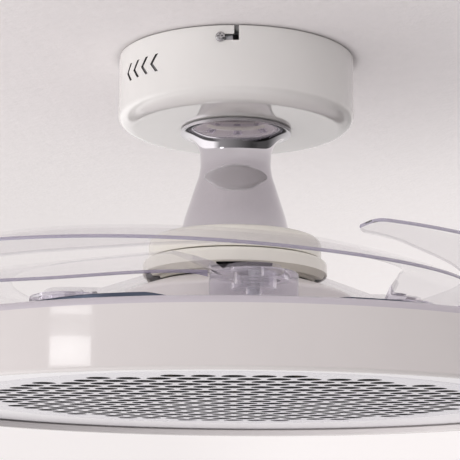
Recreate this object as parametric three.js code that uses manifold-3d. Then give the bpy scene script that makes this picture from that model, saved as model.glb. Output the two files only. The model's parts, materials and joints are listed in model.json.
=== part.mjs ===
// Retractable blade ceiling fan: a canopy, a polished trumpet neck, an outer-rotor motor, four clear
// blades that fold over a flat round lamp drum, and the lamp itself.
// Millimetres, +Z up. z = 0 is the ceiling, the fan hangs below it about the Z axis.
import * as THREE from 'three';
import { mergeVertices } from 'three/addons/utils/BufferGeometryUtils.js';
import Module from 'manifold-3d';

const wasm = await Module();
wasm.setup();

// ---------------------------------------------------------------- clearances
const FIT = 0.3; // between pieces that seat in or on each other
const TURN = 1.0; // between the turning rotor and the fixed pieces beside it

// ---------------------------------------------------------------- canopy and its bracket
const CANOPY_R = 84.5;
const CANOPY_DEPTH = 51.5;
const CANOPY_WALL = 1.5;
const CANOPY_FILLET = 6;
const CANOPY_HOLE_R = 24;
const SCREW_AZ = -97.3; // bracket and canopy screws lie on this line
const SCREW_DEPTH = 8.8;
const SCREW_R = 1.5;
const SCREW_HEAD_R = 3.4;
const SLOT_W = 3.2; // upright leg of the bayonet slot
const SLOT_H = 4.4; // level leg of the bayonet slot
const SLOT_TURN = 7.1; // degrees from the upright leg to the screw's seat
const VENT_AZ = -133.9; // first chevron's point
const VENT_STEP = 6.65;
const VENT_COUNT = 6;
const VENT_H = 12.4;
const VENT_POINT = 3.4; // degrees from a chevron's point to its ends
const VENT_STROKE = 2;
const VENT_DEPTH = 21;
const BRACKET_W = 44;
const BRACKET_T = 2;
const TAB_W = 16;
const TAB_H = 20;
const GROMMET_Y = 46;
const GROMMET_R = 6.7;

// ---------------------------------------------------------------- hanger
const BALL_R = 18;
const BALL_DEPTH = 27; // ball centre below the ceiling
const ROD_WALL = 2.7;
const PIN_R = 2;

// ---------------------------------------------------------------- polished neck
const NECK_TOP_R = 39.5;
const NECK_WAIST_R = 25;
const NECK_BASE_R = 39;
const NECK_H = 78.4;
const NECK_WAIST_DEPTH = 22; // waist below the neck's top
const NECK_WALL = 1.4;
const NECK_RIM = 1.3; // the upright edge at its very top

// ---------------------------------------------------------------- motor
const COVER_R = 60.8;
const COVER_H = 15.6;
const COVER_WALL = 2;
const COVER_ROOM = 5.9; // from the rotor cup out to the cover's wall
const SKIRT_PROUD = 4; // the skirt is this much wider than the cover
const SKIRT_H = 13.9;
const SHAFT_R = 7.5;
const SHAFT_BORE_R = 4.5;
const SHAFT_ENGAGE = 28; // length of the shaft inside the downrod
const FLANGE_R = 24;
const CORE_H = 7.5;
const YOKE_R = 20;
const TEETH = 9;
const TOOTH_W = 7;
const AIR_GAP = 0.8;
const MAGNET_T = 3.6;
const CUP_WALL = 2.2;
const BEARING_T = 4.2; // from its bore to its rim
const BEARING_H = 4;

// ---------------------------------------------------------------- blade carrier and pivots
const BLADES = 4;
const BOSS_ROOM = 2.7; // from the dome's wall out to a blade's boss
const PIVOT_AZ = -84; // first pivot, the front one
const HUB_R = 50;
const HUB_T = 3;
const ARM_W = 36;
const ARM_DROP = 12.2; // hub top down to pad top
const PAD_T = 4;
const BOSS_R = 28.3;
const BOSS_H = 19;
const BOLT_R = 3.9;
const BOLT_HEAD_R = 9;
const BOLT_HEAD_H = 3;
const SPRING_COIL_R = 9.4;
const SPRING_WIRE_R = 0.7;
const SPRING_CURLS = 4;
const SPRING_PITCH = 2;
const SPRING_POCKET_R = 12.6;
const STOP_R = 17; // stop pin's distance from the pivot
const STOP_PIN_R = 1.8;
const STOP_DEPTH = 5;
const BLADE_SWING = 160; // degrees from folded to open

// ---------------------------------------------------------------- blades
const BLADE_T = 3;
const BLADE_SPAN = 168; // degrees about the fan's axis when folded
const BLADE_START = 2;
const TIP_RAKE = 3; // degrees by which the tip's outer corner stops short of its inner one
// Loft stations, evenly spaced from root to tip: the two edges' radii about the fan's axis, their
// heights above the boss top, and the section's crown above the straight line between them.
const OUTER_EDGE = [142, 168, 194, 221, 236, 242, 245, 244.5, 238];
const INNER_EDGE = [100, 114, 134, 147, 153, 159, 166, 180, 214];
const OUTER_RISE = [-4.5, -7.5, -11.4, -10, -6.8, -1.8, 2.5, 5.5, 9.2];
const INNER_RISE = [16, 15, 11, 10.4, 11.9, 11.3, 9.3, 8.3, 9.4];
const CROWN = [0, 1, 1.5, 3.5, 6.5, 8, 9, 6, 0.5];

// ---------------------------------------------------------------- lamp
const DOME_R = 84;
const DOME_FLAT_R = 54;
const DOME_FALL = 0.00265; // the dome falls by this times its radius squared
const DOME_WALL = 1.5;
const DOME_FLANGE_R = 74; // its inturned foot's inner edge
const SLEEVE_WALL = 3.2;
const BASE_T = 1.8;
const DRUM_R = 250;
const DRUM_H = 41.4;
const DRUM_WALL = 2;
const DRUM_TOP_FILLET = 7;
const DRUM_LOW_FILLET = 2.3;
const DRUM_LIP_W = 6;
const DRUM_TOP_W = 9.5; // how far the drum's top flange reaches inwards
const DRUM_BELOW_DOME = 46.3; // dome top down to drum top
const TRIM_W = 4.2;
const TRIM_PROUD = 3.2;
const FACE_RECESS = 6;
const RING_INNER_R = 186.5;
const RING_T = 2;
const PLATE_T = 2;
const HOLE_W = 12; // side of a hole in the pattern plate
const HOLE_PITCH = 18.3;
const HOLE_FIELD_R = 165; // holes are centred within this radius
const LENS_T = 1.5;
const TRAY_R = 178;
const TRAY_DEPTH = 16;

// ---------------------------------------------------------------- heights that follow from the sizes
const neckTop = -CANOPY_DEPTH - 0.8;
const neckBase = neckTop - NECK_H;
const coverTop = neckBase - FIT;
const coverLow = coverTop - COVER_H;
const skirtTop = coverLow - TURN;
const skirtLow = skirtTop - SKIRT_H;
const domeTop = skirtLow - 2 * TURN;
const cupLow = skirtLow + 3.5;
const cupTop = cupLow + 19;
const hubTop = cupLow - FIT;
const padTop = hubTop - ARM_DROP;
const padLow = padTop - PAD_T;
const bossTop = padLow - 0.5;
const bossLow = bossTop - BOSS_H;
const drumTop = domeTop - DRUM_BELOW_DOME;
const drumLow = drumTop - DRUM_H;
const baseTop = drumTop - DRUM_WALL - FIT;
const baseLow = baseTop - BASE_T;
const faceZ = drumLow + FACE_RECESS;
const trayLow = baseLow - FIT - TRAY_DEPTH;
const cupOuter = COVER_R - COVER_WALL - COVER_ROOM;
const cupInner = cupOuter - CUP_WALL;
const coreR = cupInner - FIT - MAGNET_T - AIR_GAP;
const skirtR = COVER_R + SKIRT_PROUD;
const pivotR = DOME_R + BOSS_ROOM + BOSS_R;
const rodBore = SHAFT_R + 0.4;
const rodR = rodBore + ROD_WALL;
const bearingBore = SHAFT_R + FIT;
const bearingR = bearingBore + BEARING_T;
const rad = THREE.MathUtils.degToRad;

// ---------------------------------------------------------------- materials
function paint(color, roughness, metalness = 0, opacity = 1) {
  const m = new THREE.MeshStandardMaterial({ color, roughness, metalness });
  m.opacity = opacity;
  m.transparent = opacity < 1;
  return m;
}
const WHITE = paint(0xece9e6, 0.22);
const CHROME = paint(0xc8c8cc, 0.05, 1);
const STEEL = paint(0x9a9ca0, 0.35, 1);
const BLACK = paint(0x17181a, 0.45, 0.3);
const CLEAR = paint(0xe6e4f0, 0.05, 0, 0.3);
const SMOKE = paint(0x2a2a2e, 0.2);
const COPPER = paint(0xb06a3c, 0.4, 1);
const GREEN = paint(0xe8e6df, 0.6);
const NYLON = paint(0x1c1c1e, 0.6);

// ---------------------------------------------------------------- solids
function toSolid(geometry) {
  let g = geometry.clone();
  g.deleteAttribute('normal');
  g.deleteAttribute('uv');
  g = mergeVertices(g, 1e-4);
  const vertProperties = new Float32Array(g.attributes.position.array);
  const triVerts = new Uint32Array(g.index.array);
  return new wasm.Manifold(new wasm.Mesh({ numProp: 3, vertProperties, triVerts }));
}

function toGeometry(solid) {
  const mesh = solid.getMesh();
  const g = new THREE.BufferGeometry();
  g.setAttribute('position', new THREE.BufferAttribute(new Float32Array(mesh.vertProperties), 3));
  g.setIndex(new THREE.BufferAttribute(new Uint32Array(mesh.triVerts), 1));
  return g;
}

function cut(geometry, ...tools) {
  let solid = toSolid(geometry);
  for (const tool of tools) solid = solid.subtract(toSolid(tool));
  return toGeometry(solid);
}

function join(geometry, ...others) {
  let solid = toSolid(geometry);
  for (const other of others) solid = solid.add(toSolid(other));
  return toGeometry(solid);
}

// A closed profile of [radius, z] pairs, listed anticlockwise with the radius to the right.
function revolve(profile, segments) {
  const closed = [...profile, profile[0]];
  const g = new THREE.LatheGeometry(closed.map(([r, z]) => new THREE.Vector2(r, z)), segments);
  g.rotateX(Math.PI / 2);
  g.deleteAttribute('normal');
  g.deleteAttribute('uv');
  return mergeVertices(g, 1e-4);
}

// A tube wall between two radii and two heights.
function ring(inner, outer, low, high, segments) {
  return revolve([[inner, low], [outer, low], [outer, high], [inner, high]], segments);
}

function rod(radius, low, high, segments, x = 0, y = 0) {
  const g = new THREE.CylinderGeometry(radius, radius, high - low, segments);
  g.rotateX(Math.PI / 2);
  g.translate(x, y, (low + high) / 2);
  return g;
}

function block(x0, x1, y0, y1, z0, z1) {
  const g = new THREE.BoxGeometry(x1 - x0, y1 - y0, z1 - z0);
  g.translate((x0 + x1) / 2, (y0 + y1) / 2, (z0 + z1) / 2);
  return g;
}

function prism(shape, low, high) {
  const g = new THREE.ExtrudeGeometry(shape, { depth: high - low, bevelEnabled: false, curveSegments: 8 });
  g.translate(0, 0, low);
  return g;
}

// Points of a quarter-round from one direction to another about a centre, both ends included.
function arc(cx, cz, radius, from, to, steps) {
  const points = [];
  for (let i = 0; i <= steps; i++) {
    const a = rad(from + ((to - from) * i) / steps);
    points.push([cx + radius * Math.cos(a), cz + radius * Math.sin(a)]);
  }
  return points;
}

const smooth = (t) => THREE.MathUtils.smoothstep(t, 0, 1);
const mix = THREE.MathUtils.lerp;

const fan = new THREE.Group();
function place(name, geometry, material, turn = 0) {
  const mesh = new THREE.Mesh(geometry, material);
  mesh.name = name;
  mesh.rotation.z = rad(turn);
  fan.add(mesh);
  return mesh;
}

// ---------------------------------------------------------------- ceiling bracket
// Built along +X, then turned onto the screws' line.
function ceilingBracket() {
  const tabOut = CANOPY_R - CANOPY_WALL - 1.5;
  const half = BRACKET_W / 2;
  const legIn = BALL_R + 2;
  const seatLow = -BALL_DEPTH - 11.5;
  let g = block(-tabOut, tabOut, -TAB_W / 2, TAB_W / 2, -BRACKET_T, 0);
  g = join(
    g,
    block(-tabOut + 14, tabOut - 14, -half, half, -BRACKET_T, 0),
    block(tabOut - BRACKET_T, tabOut, -TAB_W / 2, TAB_W / 2, -TAB_H, -BRACKET_T / 2),
    block(-tabOut, -tabOut + BRACKET_T, -TAB_W / 2, TAB_W / 2, -TAB_H, -BRACKET_T / 2),
    block(-15, 15, legIn, legIn + BRACKET_T, seatLow, -BRACKET_T / 2),
    block(-15, 15, -legIn - BRACKET_T, -legIn, seatLow, -BRACKET_T / 2),
    block(-15, 15, -legIn - BRACKET_T / 2, legIn + BRACKET_T / 2, seatLow, seatLow + 3),
  );
  const seat = new THREE.SphereGeometry(BALL_R + FIT, 12, 6);
  seat.rotateX(Math.PI / 2);
  seat.translate(0, 0, -BALL_DEPTH);
  const grommetHole = rod(GROMMET_R + FIT, -5, 5, 16, -GROMMET_Y, 0);
  const bore = () => {
    const g2 = new THREE.CylinderGeometry(SCREW_R + FIT, SCREW_R + FIT, 12, 12);
    g2.rotateZ(Math.PI / 2);
    return g2;
  };
  const right = bore();
  right.translate(tabOut, 0, -SCREW_DEPTH);
  const left = bore();
  left.translate(-tabOut, 0, -SCREW_DEPTH);
  const anchors = [-1, 1].map((s) => rod(2.6, -5, 5, 12, s * 58, 12 * s));
  return cut(g, seat, grommetHole, right, left, ...anchors);
}

function wireGrommet() {
  const low = -BRACKET_T - 3.5;
  const g = revolve([[4, low], [GROMMET_R + 2.3, low], [GROMMET_R + 2.3, -BRACKET_T - FIT],
    [GROMMET_R, -BRACKET_T - FIT], [GROMMET_R, -FIT], [4, -FIT]], 16);
  g.translate(-GROMMET_Y, 0, 0);
  return g;
}

function terminalBlock() {
  const y = 12;
  const top = -BRACKET_T - FIT;
  const g = block(GROMMET_Y - 8, GROMMET_Y + 8, -y, y, top - 12, top);
  const ways = [-8, 0, 8].map((s) => {
    const way = new THREE.CylinderGeometry(2.2, 2.2, 30, 8);
    way.rotateZ(Math.PI / 2);
    way.translate(GROMMET_Y, s, top - 8);
    return way;
  });
  return cut(g, ...ways);
}

// A pan-head screw with a cross recess, lying along +X with its head outermost.
function canopyScrew() {
  const seat = CANOPY_R + FIT;
  const profile = [[0, -14], [SCREW_R, -14], [SCREW_R, 0], [SCREW_HEAD_R, 0], [SCREW_HEAD_R, 1],
    [SCREW_HEAD_R * 0.72, 2.1], [0, 2.4]];
  let g = new THREE.LatheGeometry(profile.map(([r, z]) => new THREE.Vector2(r, z)), 12);
  g = cut(g, block(-2.2, 2.2, 1.2, 4, -0.45, 0.45), block(-0.45, 0.45, 1.2, 4, -2.2, 2.2));
  g.rotateZ(-Math.PI / 2);
  g.translate(seat, 0, -SCREW_DEPTH);
  return g;
}

// ---------------------------------------------------------------- canopy
function chevron(azimuth) {
  const mid = -VENT_DEPTH;
  const reach = (rad(VENT_POINT) * CANOPY_R);
  const half = VENT_H / 2;
  const s = VENT_STROKE;
  const shape = new THREE.Shape();
  shape.moveTo(0, 0);
  shape.lineTo(reach, half);
  shape.lineTo(reach + s, half);
  shape.lineTo(s, 0);
  shape.lineTo(reach + s, -half);
  shape.lineTo(reach, -half);
  shape.closePath();
  const g = new THREE.ExtrudeGeometry(shape, { depth: 12, bevelEnabled: false });
  g.rotateX(Math.PI / 2);
  g.rotateZ(Math.PI / 2);
  g.translate(CANOPY_R - 6, 0, mid);
  g.rotateZ(rad(azimuth));
  return g;
}

function bayonetSlot(azimuth) {
  const gap = block(CANOPY_R - 6, CANOPY_R + 6, -SLOT_W / 2, SLOT_W / 2, -SCREW_DEPTH - SLOT_H / 2, 5);
  gap.rotateZ(rad(azimuth + SLOT_TURN));
  const parts = [gap];
  for (let i = 0; i <= 3; i++) {
    const leg = block(CANOPY_R - 6, CANOPY_R + 6, -2.2, 2.2, -SCREW_DEPTH - SLOT_H / 2, -SCREW_DEPTH + SLOT_H / 2);
    leg.rotateZ(rad(azimuth + (SLOT_TURN * i) / 3));
    parts.push(leg);
  }
  return parts;
}

function canopyShell() {
  const low = -CANOPY_DEPTH;
  const inner = CANOPY_R - CANOPY_WALL;
  const f = CANOPY_FILLET;
  const profile = [
    [CANOPY_HOLE_R, low],
    ...arc(CANOPY_R - f, low + f, f, -90, 0, 3),
    [CANOPY_R, -0.4],
    [inner, -0.4],
    ...arc(CANOPY_R - f, low + f, f - CANOPY_WALL, 0, -90, 1),
    [CANOPY_HOLE_R, low + CANOPY_WALL],
  ];
  const tools = [...bayonetSlot(SCREW_AZ), ...bayonetSlot(SCREW_AZ + 180)];
  for (let i = 0; i < VENT_COUNT; i++) {
    tools.push(chevron(VENT_AZ - i * VENT_STEP), chevron(VENT_AZ + 180 - i * VENT_STEP));
  }
  return cut(revolve(profile, 34), ...tools);
}

// ---------------------------------------------------------------- hanger
function hangerBall() {
  const ball = new THREE.SphereGeometry(BALL_R, 12, 6);
  ball.rotateX(Math.PI / 2);
  ball.translate(0, 0, -BALL_DEPTH);
  const pinWay = new THREE.CylinderGeometry(PIN_R + FIT, PIN_R + FIT, 3 * BALL_R, 10);
  pinWay.translate(0, 0, -BALL_DEPTH + 5);
  return cut(ball, rod(rodR + FIT, -80, 5, 16), pinWay,
    block(-40, 40, -40, 40, -BALL_DEPTH + BALL_R - 4, 5),
    block(-40, 40, -40, 40, -80, -BALL_DEPTH - BALL_R + 3.5));
}

const rodLow = neckBase + 2.5;
const pinZ = rodLow + SHAFT_ENGAGE / 2;

function crossHole(z, radius) {
  const g = new THREE.CylinderGeometry(radius, radius, 60, 8);
  g.translate(0, 0, z);
  return g;
}

function downrod() {
  const g = ring(rodBore, rodR, rodLow, -BALL_DEPTH + BALL_R - 2, 16);
  return cut(g, crossHole(pinZ, PIN_R + FIT), crossHole(-BALL_DEPTH + 5, PIN_R + FIT));
}

function pin(z, half) {
  const g = new THREE.CylinderGeometry(PIN_R, PIN_R, 2 * half, 8);
  g.translate(0, 0, z);
  return g;
}

// ---------------------------------------------------------------- neck
// A trumpet: a rim and a quick flare under the canopy, a waist, and a long swell down to the motor.
function neckRadius(depth) {
  if (depth <= NECK_RIM) return NECK_TOP_R;
  if (depth < NECK_WAIST_DEPTH) {
    const u = ((NECK_WAIST_DEPTH - depth) / (NECK_WAIST_DEPTH - NECK_RIM)) ** 1.6;
    return mix(NECK_WAIST_R, NECK_TOP_R, 1 - Math.sqrt(1 - u * u));
  }
  return mix(NECK_WAIST_R, NECK_BASE_R, smooth((depth - NECK_WAIST_DEPTH) / (NECK_H - NECK_WAIST_DEPTH)));
}

function neckCover() {
  const flare = [0, 0.001, 0.04, 0.12, 0.27, 0.5, 1].map((u) => NECK_RIM + u * (NECK_WAIST_DEPTH - NECK_RIM));
  const swell = [0.25, 0.45, 0.65, 0.83, 1].map((u) => mix(NECK_WAIST_DEPTH, NECK_H, u));
  const outer = [0, ...flare, ...swell].map((d) => [neckRadius(d), neckTop - d]);
  const mouth = 0.4 * NECK_WAIST_DEPTH; // above this the bore runs straight up through the flare
  const lining = [0, mouth, NECK_WAIST_DEPTH, mix(NECK_WAIST_DEPTH, NECK_H, 0.5), NECK_H];
  const inner = lining.map((d) => [neckRadius(Math.max(d, mouth)) - NECK_WALL, neckTop - d]);
  return revolve([...outer.reverse(), ...inner], 24);
}

// ---------------------------------------------------------------- motor
function motorCover() {
  const f = 6;
  const plateLow = coverTop - COVER_WALL;
  const profile = [
    [COVER_R - COVER_WALL, coverLow],
    [COVER_R, coverLow],
    ...arc(COVER_R - f, coverTop - f, f, 0, 90, 3),
    [SHAFT_R + FIT, coverTop],
    [SHAFT_R + FIT, plateLow],
    ...arc(COVER_R - f, coverTop - f, f - COVER_WALL, 90, 0, 1),
  ];
  const holes = [0, 120, 240].map((a) => coverScrewHole(a));
  return cut(revolve(profile, 24), ...holes);
}

const coverScrewR = (rodR + FLANGE_R) / 2;

function coverScrewHole(azimuth) {
  const a = rad(azimuth);
  return rod(SCREW_R + FIT, coverTop - 12, coverTop + 5, 8, coverScrewR * Math.cos(a), coverScrewR * Math.sin(a));
}

function coverScrew() {
  const seat = coverTop + FIT;
  const g = revolve([[0, seat - 4.9], [SCREW_R, seat - 4.9], [SCREW_R, seat], [3, seat], [3, seat + 1.4],
    [0, seat + 2]], 8);
  g.translate(coverScrewR, 0, 0);
  return g;
}

const flangeTop = coverTop - COVER_WALL - FIT;
const flangeLow = flangeTop - 2.4;
const lidTop = flangeLow - 0.8;
const lidLow = lidTop - 1.9;
const coreLow = cupLow + 7;
const coreTop = coreLow + CORE_H;
const shaftLow = baseLow - 12;

function motorShaft() {
  const collarTop = cupLow - 1;
  const collarLow = domeTop + FIT;
  const profile = [
    [SHAFT_BORE_R, shaftLow], [SHAFT_R, shaftLow], [SHAFT_R, collarLow], [SHAFT_R + 1.8, collarLow],
    [SHAFT_R + 1.8, collarTop], [SHAFT_R, collarTop], [SHAFT_R, flangeLow], [FLANGE_R, flangeLow],
    [FLANGE_R, flangeTop], [SHAFT_R, flangeTop], [SHAFT_R, rodLow + SHAFT_ENGAGE],
    [SHAFT_BORE_R, rodLow + SHAFT_ENGAGE],
  ];
  const holes = [0, 120, 240].map((a) => coverScrewHole(a));
  return cut(revolve(profile, 16), crossHole(pinZ, PIN_R + FIT), ...holes);
}

// The laminated core's outline: a yoke with straight teeth that end in wider shoes.
function coreShape(grow) {
  const shape = new THREE.Shape();
  const shoe = (coreR + grow);
  const neckR = coreR - 4 - grow;
  const half = TOOTH_W / 2 + grow;
  const shoeHalf = 8.6 + grow;
  for (let i = 0; i < TEETH; i++) {
    const a = (2 * Math.PI * i) / TEETH;
    const ux = Math.cos(a);
    const uy = Math.sin(a);
    const yoke = YOKE_R + grow;
    const flank = Math.sqrt(yoke * yoke - half * half);
    const tip = Math.sqrt(shoe * shoe - shoeHalf * shoeHalf);
    const corners = [[flank, -half], [neckR, -half], [neckR, -shoeHalf], [tip, -shoeHalf], [shoe, 0],
      [tip, shoeHalf], [neckR, shoeHalf], [neckR, half], [flank, half]];
    corners.forEach(([x, y], k) => {
      const px = x * ux - y * uy;
      const py = x * uy + y * ux;
      if (i === 0 && k === 0) shape.moveTo(px, py);
      else shape.lineTo(px, py);
    });
  }
  shape.closePath();
  return shape;
}

function statorCore() {
  return cut(prism(coreShape(0), coreLow, coreTop), rod(SHAFT_R + FIT, coreLow - 5, coreTop + 5, 20));
}

function statorWindings() {
  const body = ring(YOKE_R + 2 * FIT, coreR - 4 - 2 * FIT, coreLow - 2.3, coreTop + 2.3, 24);
  return cut(body, prism(coreShape(FIT), coreLow - FIT, coreTop + FIT));
}

const lowBearing = cupLow + 1.8;

function rotorCup() {
  const seat = bearingR + FIT;
  return revolve([
    [bearingR - 1.5, cupLow], [cupOuter, cupLow], [cupOuter, cupTop], [cupInner, cupTop],
    [cupInner, cupLow + 2], [seat + 2.7, cupLow + 2], [seat + 2.7, cupLow + 5.9], [seat, cupLow + 5.9],
    [seat, lowBearing - FIT], [bearingR - 1.5, lowBearing - FIT],
  ], 24);
}

const topBearing = lidLow - 0.9 - BEARING_H / 2;

function rotorLid() {
  const seat = bearingR + FIT;
  const ceilingOfSeat = topBearing + BEARING_H / 2 + FIT;
  return revolve([
    [bearingR - 1.5, ceilingOfSeat], [seat, ceilingOfSeat], [seat, topBearing - BEARING_H / 2],
    [seat + 2.7, topBearing - BEARING_H / 2], [seat + 2.7, lidLow], [cupOuter, lidLow],
    [cupOuter, lidTop], [bearingR - 1.5, lidTop],
  ], 24);
}

function rotorSkirt() {
  const w = 2;
  const seat = cupOuter + FIT;
  const profile = [
    [skirtR - 8.8, skirtLow], [skirtR - 2.9, skirtLow], [skirtR, skirtLow + 4.5], [skirtR, skirtTop - 3.4], [skirtR - 0.9, skirtTop - 1.2],
    [skirtR - 3.3, skirtTop], [seat, skirtTop], [seat, skirtTop - w], [skirtR - 4.2, skirtTop - w],
    [skirtR - w, skirtTop - 4.4], [skirtR - w, skirtLow + 4.5], [skirtR - 3.6, skirtLow + w],
    [skirtR - 8.8, skirtLow + w],
  ];
  const notches = [];
  for (let i = 0; i < BLADES; i++) {
    const notch = block(skirtR - 14, skirtR + 5, -ARM_W / 2 - 1, ARM_W / 2 + 1, skirtLow - 5, hubTop + FIT);
    notch.rotateZ(rad(PIVOT_AZ + (360 / BLADES) * i));
    notches.push(notch);
  }
  return cut(revolve(profile, 32), ...notches);
}

// ---------------------------------------------------------------- blade carrier
const armOut = skirtR - 7.8;
const padIn = pivotR - 22;

// One arm, seen from the side: level out of the hub, a slope under the skirt, then the level pad.
function carrierArm() {
  const slopeT = HUB_T + 0.2;
  const side = new THREE.Shape();
  side.moveTo(HUB_R - 12, hubTop);
  side.lineTo(HUB_R - 12, hubTop - HUB_T);
  side.lineTo(armOut, hubTop - HUB_T);
  side.lineTo(padIn, padLow);
  side.lineTo(pivotR, padLow);
  side.lineTo(pivotR, padTop);
  side.lineTo(padIn + (PAD_T - slopeT) * 0.5, padTop);
  side.lineTo(armOut, hubTop);
  side.closePath();
  const g = new THREE.ExtrudeGeometry(side, { depth: ARM_W, bevelEnabled: false });
  g.rotateX(Math.PI / 2);
  g.translate(0, ARM_W / 2, 0);
  return g;
}

function bladeCarrier() {
  const parts = [];
  const holes = [];
  for (let i = 0; i < BLADES; i++) {
    const turn = rad((360 / BLADES) * i);
    const arm = carrierArm();
    const pad = rod(ARM_W / 2, padLow, padTop, 16, pivotR, 0);
    const boltHole = rod(BOLT_R + FIT, padLow - 5, padTop + 5, 8, pivotR, 0);
    const stopHole = rod(STOP_PIN_R + FIT, padLow - 5, padTop + 5, 8, pivotR - STOP_R, 0);
    for (const g of [arm, pad, boltHole, stopHole]) g.rotateZ(turn);
    parts.push(arm, pad);
    holes.push(boltHole, stopHole);
  }
  const hub = ring(bearingR + 2, HUB_R, hubTop - HUB_T, hubTop, 24);
  return cut(join(hub, ...parts), ...holes);
}

function pivotBolt() {
  const headTop = bossLow - FIT;
  return revolve([[0, headTop - BOLT_HEAD_H], [BOLT_HEAD_R - 3, headTop - BOLT_HEAD_H],
    [BOLT_HEAD_R - 2, headTop - BOLT_HEAD_H + 1], [BOLT_HEAD_R - 2, headTop - 1.2 - FIT],
    [BOLT_R, headTop - 1.2 - FIT], [BOLT_R, padTop - 0.2], [0, padTop - 0.2]], 8)
    .translate(pivotR, 0, 0);
}

function pivotWasher() {
  return ring(BOLT_R + FIT, BOLT_HEAD_R, bossLow - FIT - 1.2, bossLow - FIT, 12).translate(pivotR, 0, 0);
}

function stopPin() {
  return rod(STOP_PIN_R, bossTop - STOP_DEPTH + FIT, padTop - 0.2, 8, pivotR - STOP_R, 0);
}

// The blade's return spring: one unbroken wire, wound about the pivot bolt in the boss's pocket.
function springPath(u) {
  const a = 2 * Math.PI * SPRING_CURLS * u;
  const z = bossTop - 1 - SPRING_WIRE_R - SPRING_PITCH * SPRING_CURLS * u;
  return new THREE.Vector3(SPRING_COIL_R * Math.cos(a), SPRING_COIL_R * Math.sin(a), z);
}

function returnSpring() {
  const steps = 8 * SPRING_CURLS;
  const sides = 5;
  const position = [];
  const index = [];
  for (let i = 0; i <= steps; i++) {
    const u = i / steps;
    const p = springPath(u);
    const a = 2 * Math.PI * SPRING_CURLS * u;
    const out = new THREE.Vector3(Math.cos(a), Math.sin(a), 0);
    const along = new THREE.Vector3(-Math.sin(a), Math.cos(a), -SPRING_PITCH / (2 * Math.PI * SPRING_COIL_R));
    const up = along.normalize().clone().cross(out).normalize();
    for (let k = 0; k < sides; k++) {
      const b = (2 * Math.PI * k) / sides;
      const q = p.clone().addScaledVector(out, SPRING_WIRE_R * Math.cos(b)).addScaledVector(up, SPRING_WIRE_R * Math.sin(b));
      position.push(q.x + pivotR, q.y, q.z);
    }
  }
  for (let i = 0; i < steps; i++) {
    for (let k = 0; k < sides; k++) {
      const a = i * sides + k;
      const b = i * sides + ((k + 1) % sides);
      index.push(a, a + sides, b, b, a + sides, b + sides);
    }
  }
  const last = steps * sides;
  for (let k = 1; k < sides - 1; k++) {
    index.push(0, k, k + 1);
    index.push(last, last + k + 1, last + k);
  }
  return outward(position, index);
}

// Closed faces that all point out, whichever way they were listed.
function outward(position, index) {
  let volume = 0;
  const at = (i) => new THREE.Vector3(position[3 * i], position[3 * i + 1], position[3 * i + 2]);
  for (let i = 0; i < index.length; i += 3) {
    volume += at(index[i]).dot(at(index[i + 1]).cross(at(index[i + 2])));
  }
  if (volume < 0) {
    for (let i = 0; i < index.length; i += 3) [index[i + 1], index[i + 2]] = [index[i + 2], index[i + 1]];
  }
  const g = new THREE.BufferGeometry();
  g.setAttribute('position', new THREE.Float32BufferAttribute(position, 3));
  g.setIndex(index);
  return g;
}

// Least distance between the wire's own turns, measured on its centre line.
function springGap() {
  const n = 48 * SPRING_CURLS;
  let least = Infinity;
  for (let i = 0; i <= n; i++) {
    for (let j = i + 24; j <= n; j++) {
      least = Math.min(least, springPath(i / n).distanceTo(springPath(j / n)) - 2 * SPRING_WIRE_R);
    }
  }
  return least;
}
console.log(`return spring: least gap between curls ${springGap().toFixed(2)} mm`);

// ---------------------------------------------------------------- blades
// Smooth curve through evenly spaced stations, read at u from 0 (root) to 1 (tip).
function station(values, u) {
  const n = values.length - 1;
  const k = Math.min(Math.floor(u * n), n - 1);
  const f = u * n - k;
  const p = (i) => values[Math.max(0, Math.min(n, i))];
  const m0 = (p(k + 1) - p(k - 1)) / 2;
  const m1 = (p(k + 2) - p(k)) / 2;
  const f2 = f * f;
  const f3 = f2 * f;
  return (2 * f3 - 3 * f2 + 1) * p(k) + (f3 - 2 * f2 + f) * m0 + (3 * f2 - 2 * f3) * p(k + 1) + (f3 - f2) * m1;
}

// A point of the blade's middle surface: t degrees behind the pivot, s across from outer to inner edge.
function bladePoint(t, s) {
  const u = t / BLADE_SPAN;
  const climb = smooth((t - 9) / 12);
  const outerZ = bossTop + station(OUTER_RISE, u);
  const innerZ = bossTop + mix(-6, station(INNER_RISE, u), climb);
  const cap = 6;
  const past = Math.max(0, (t - BLADE_SPAN + cap) / cap);
  const open = 1 - (1 - Math.sqrt(1 - 0.84 * past * past)) * 0.9;
  const across = 0.5 + (s - 0.5) * open;
  const r = mix(station(OUTER_EDGE, u), station(INNER_EDGE, u), across);
  const z = mix(outerZ, innerZ, across) + 4 * station(CROWN, u) * across * (1 - across);
  const a = -rad(t - TIP_RAKE * past * (1 - s));
  return new THREE.Vector3(r * Math.cos(a), r * Math.sin(a), z);
}

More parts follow.
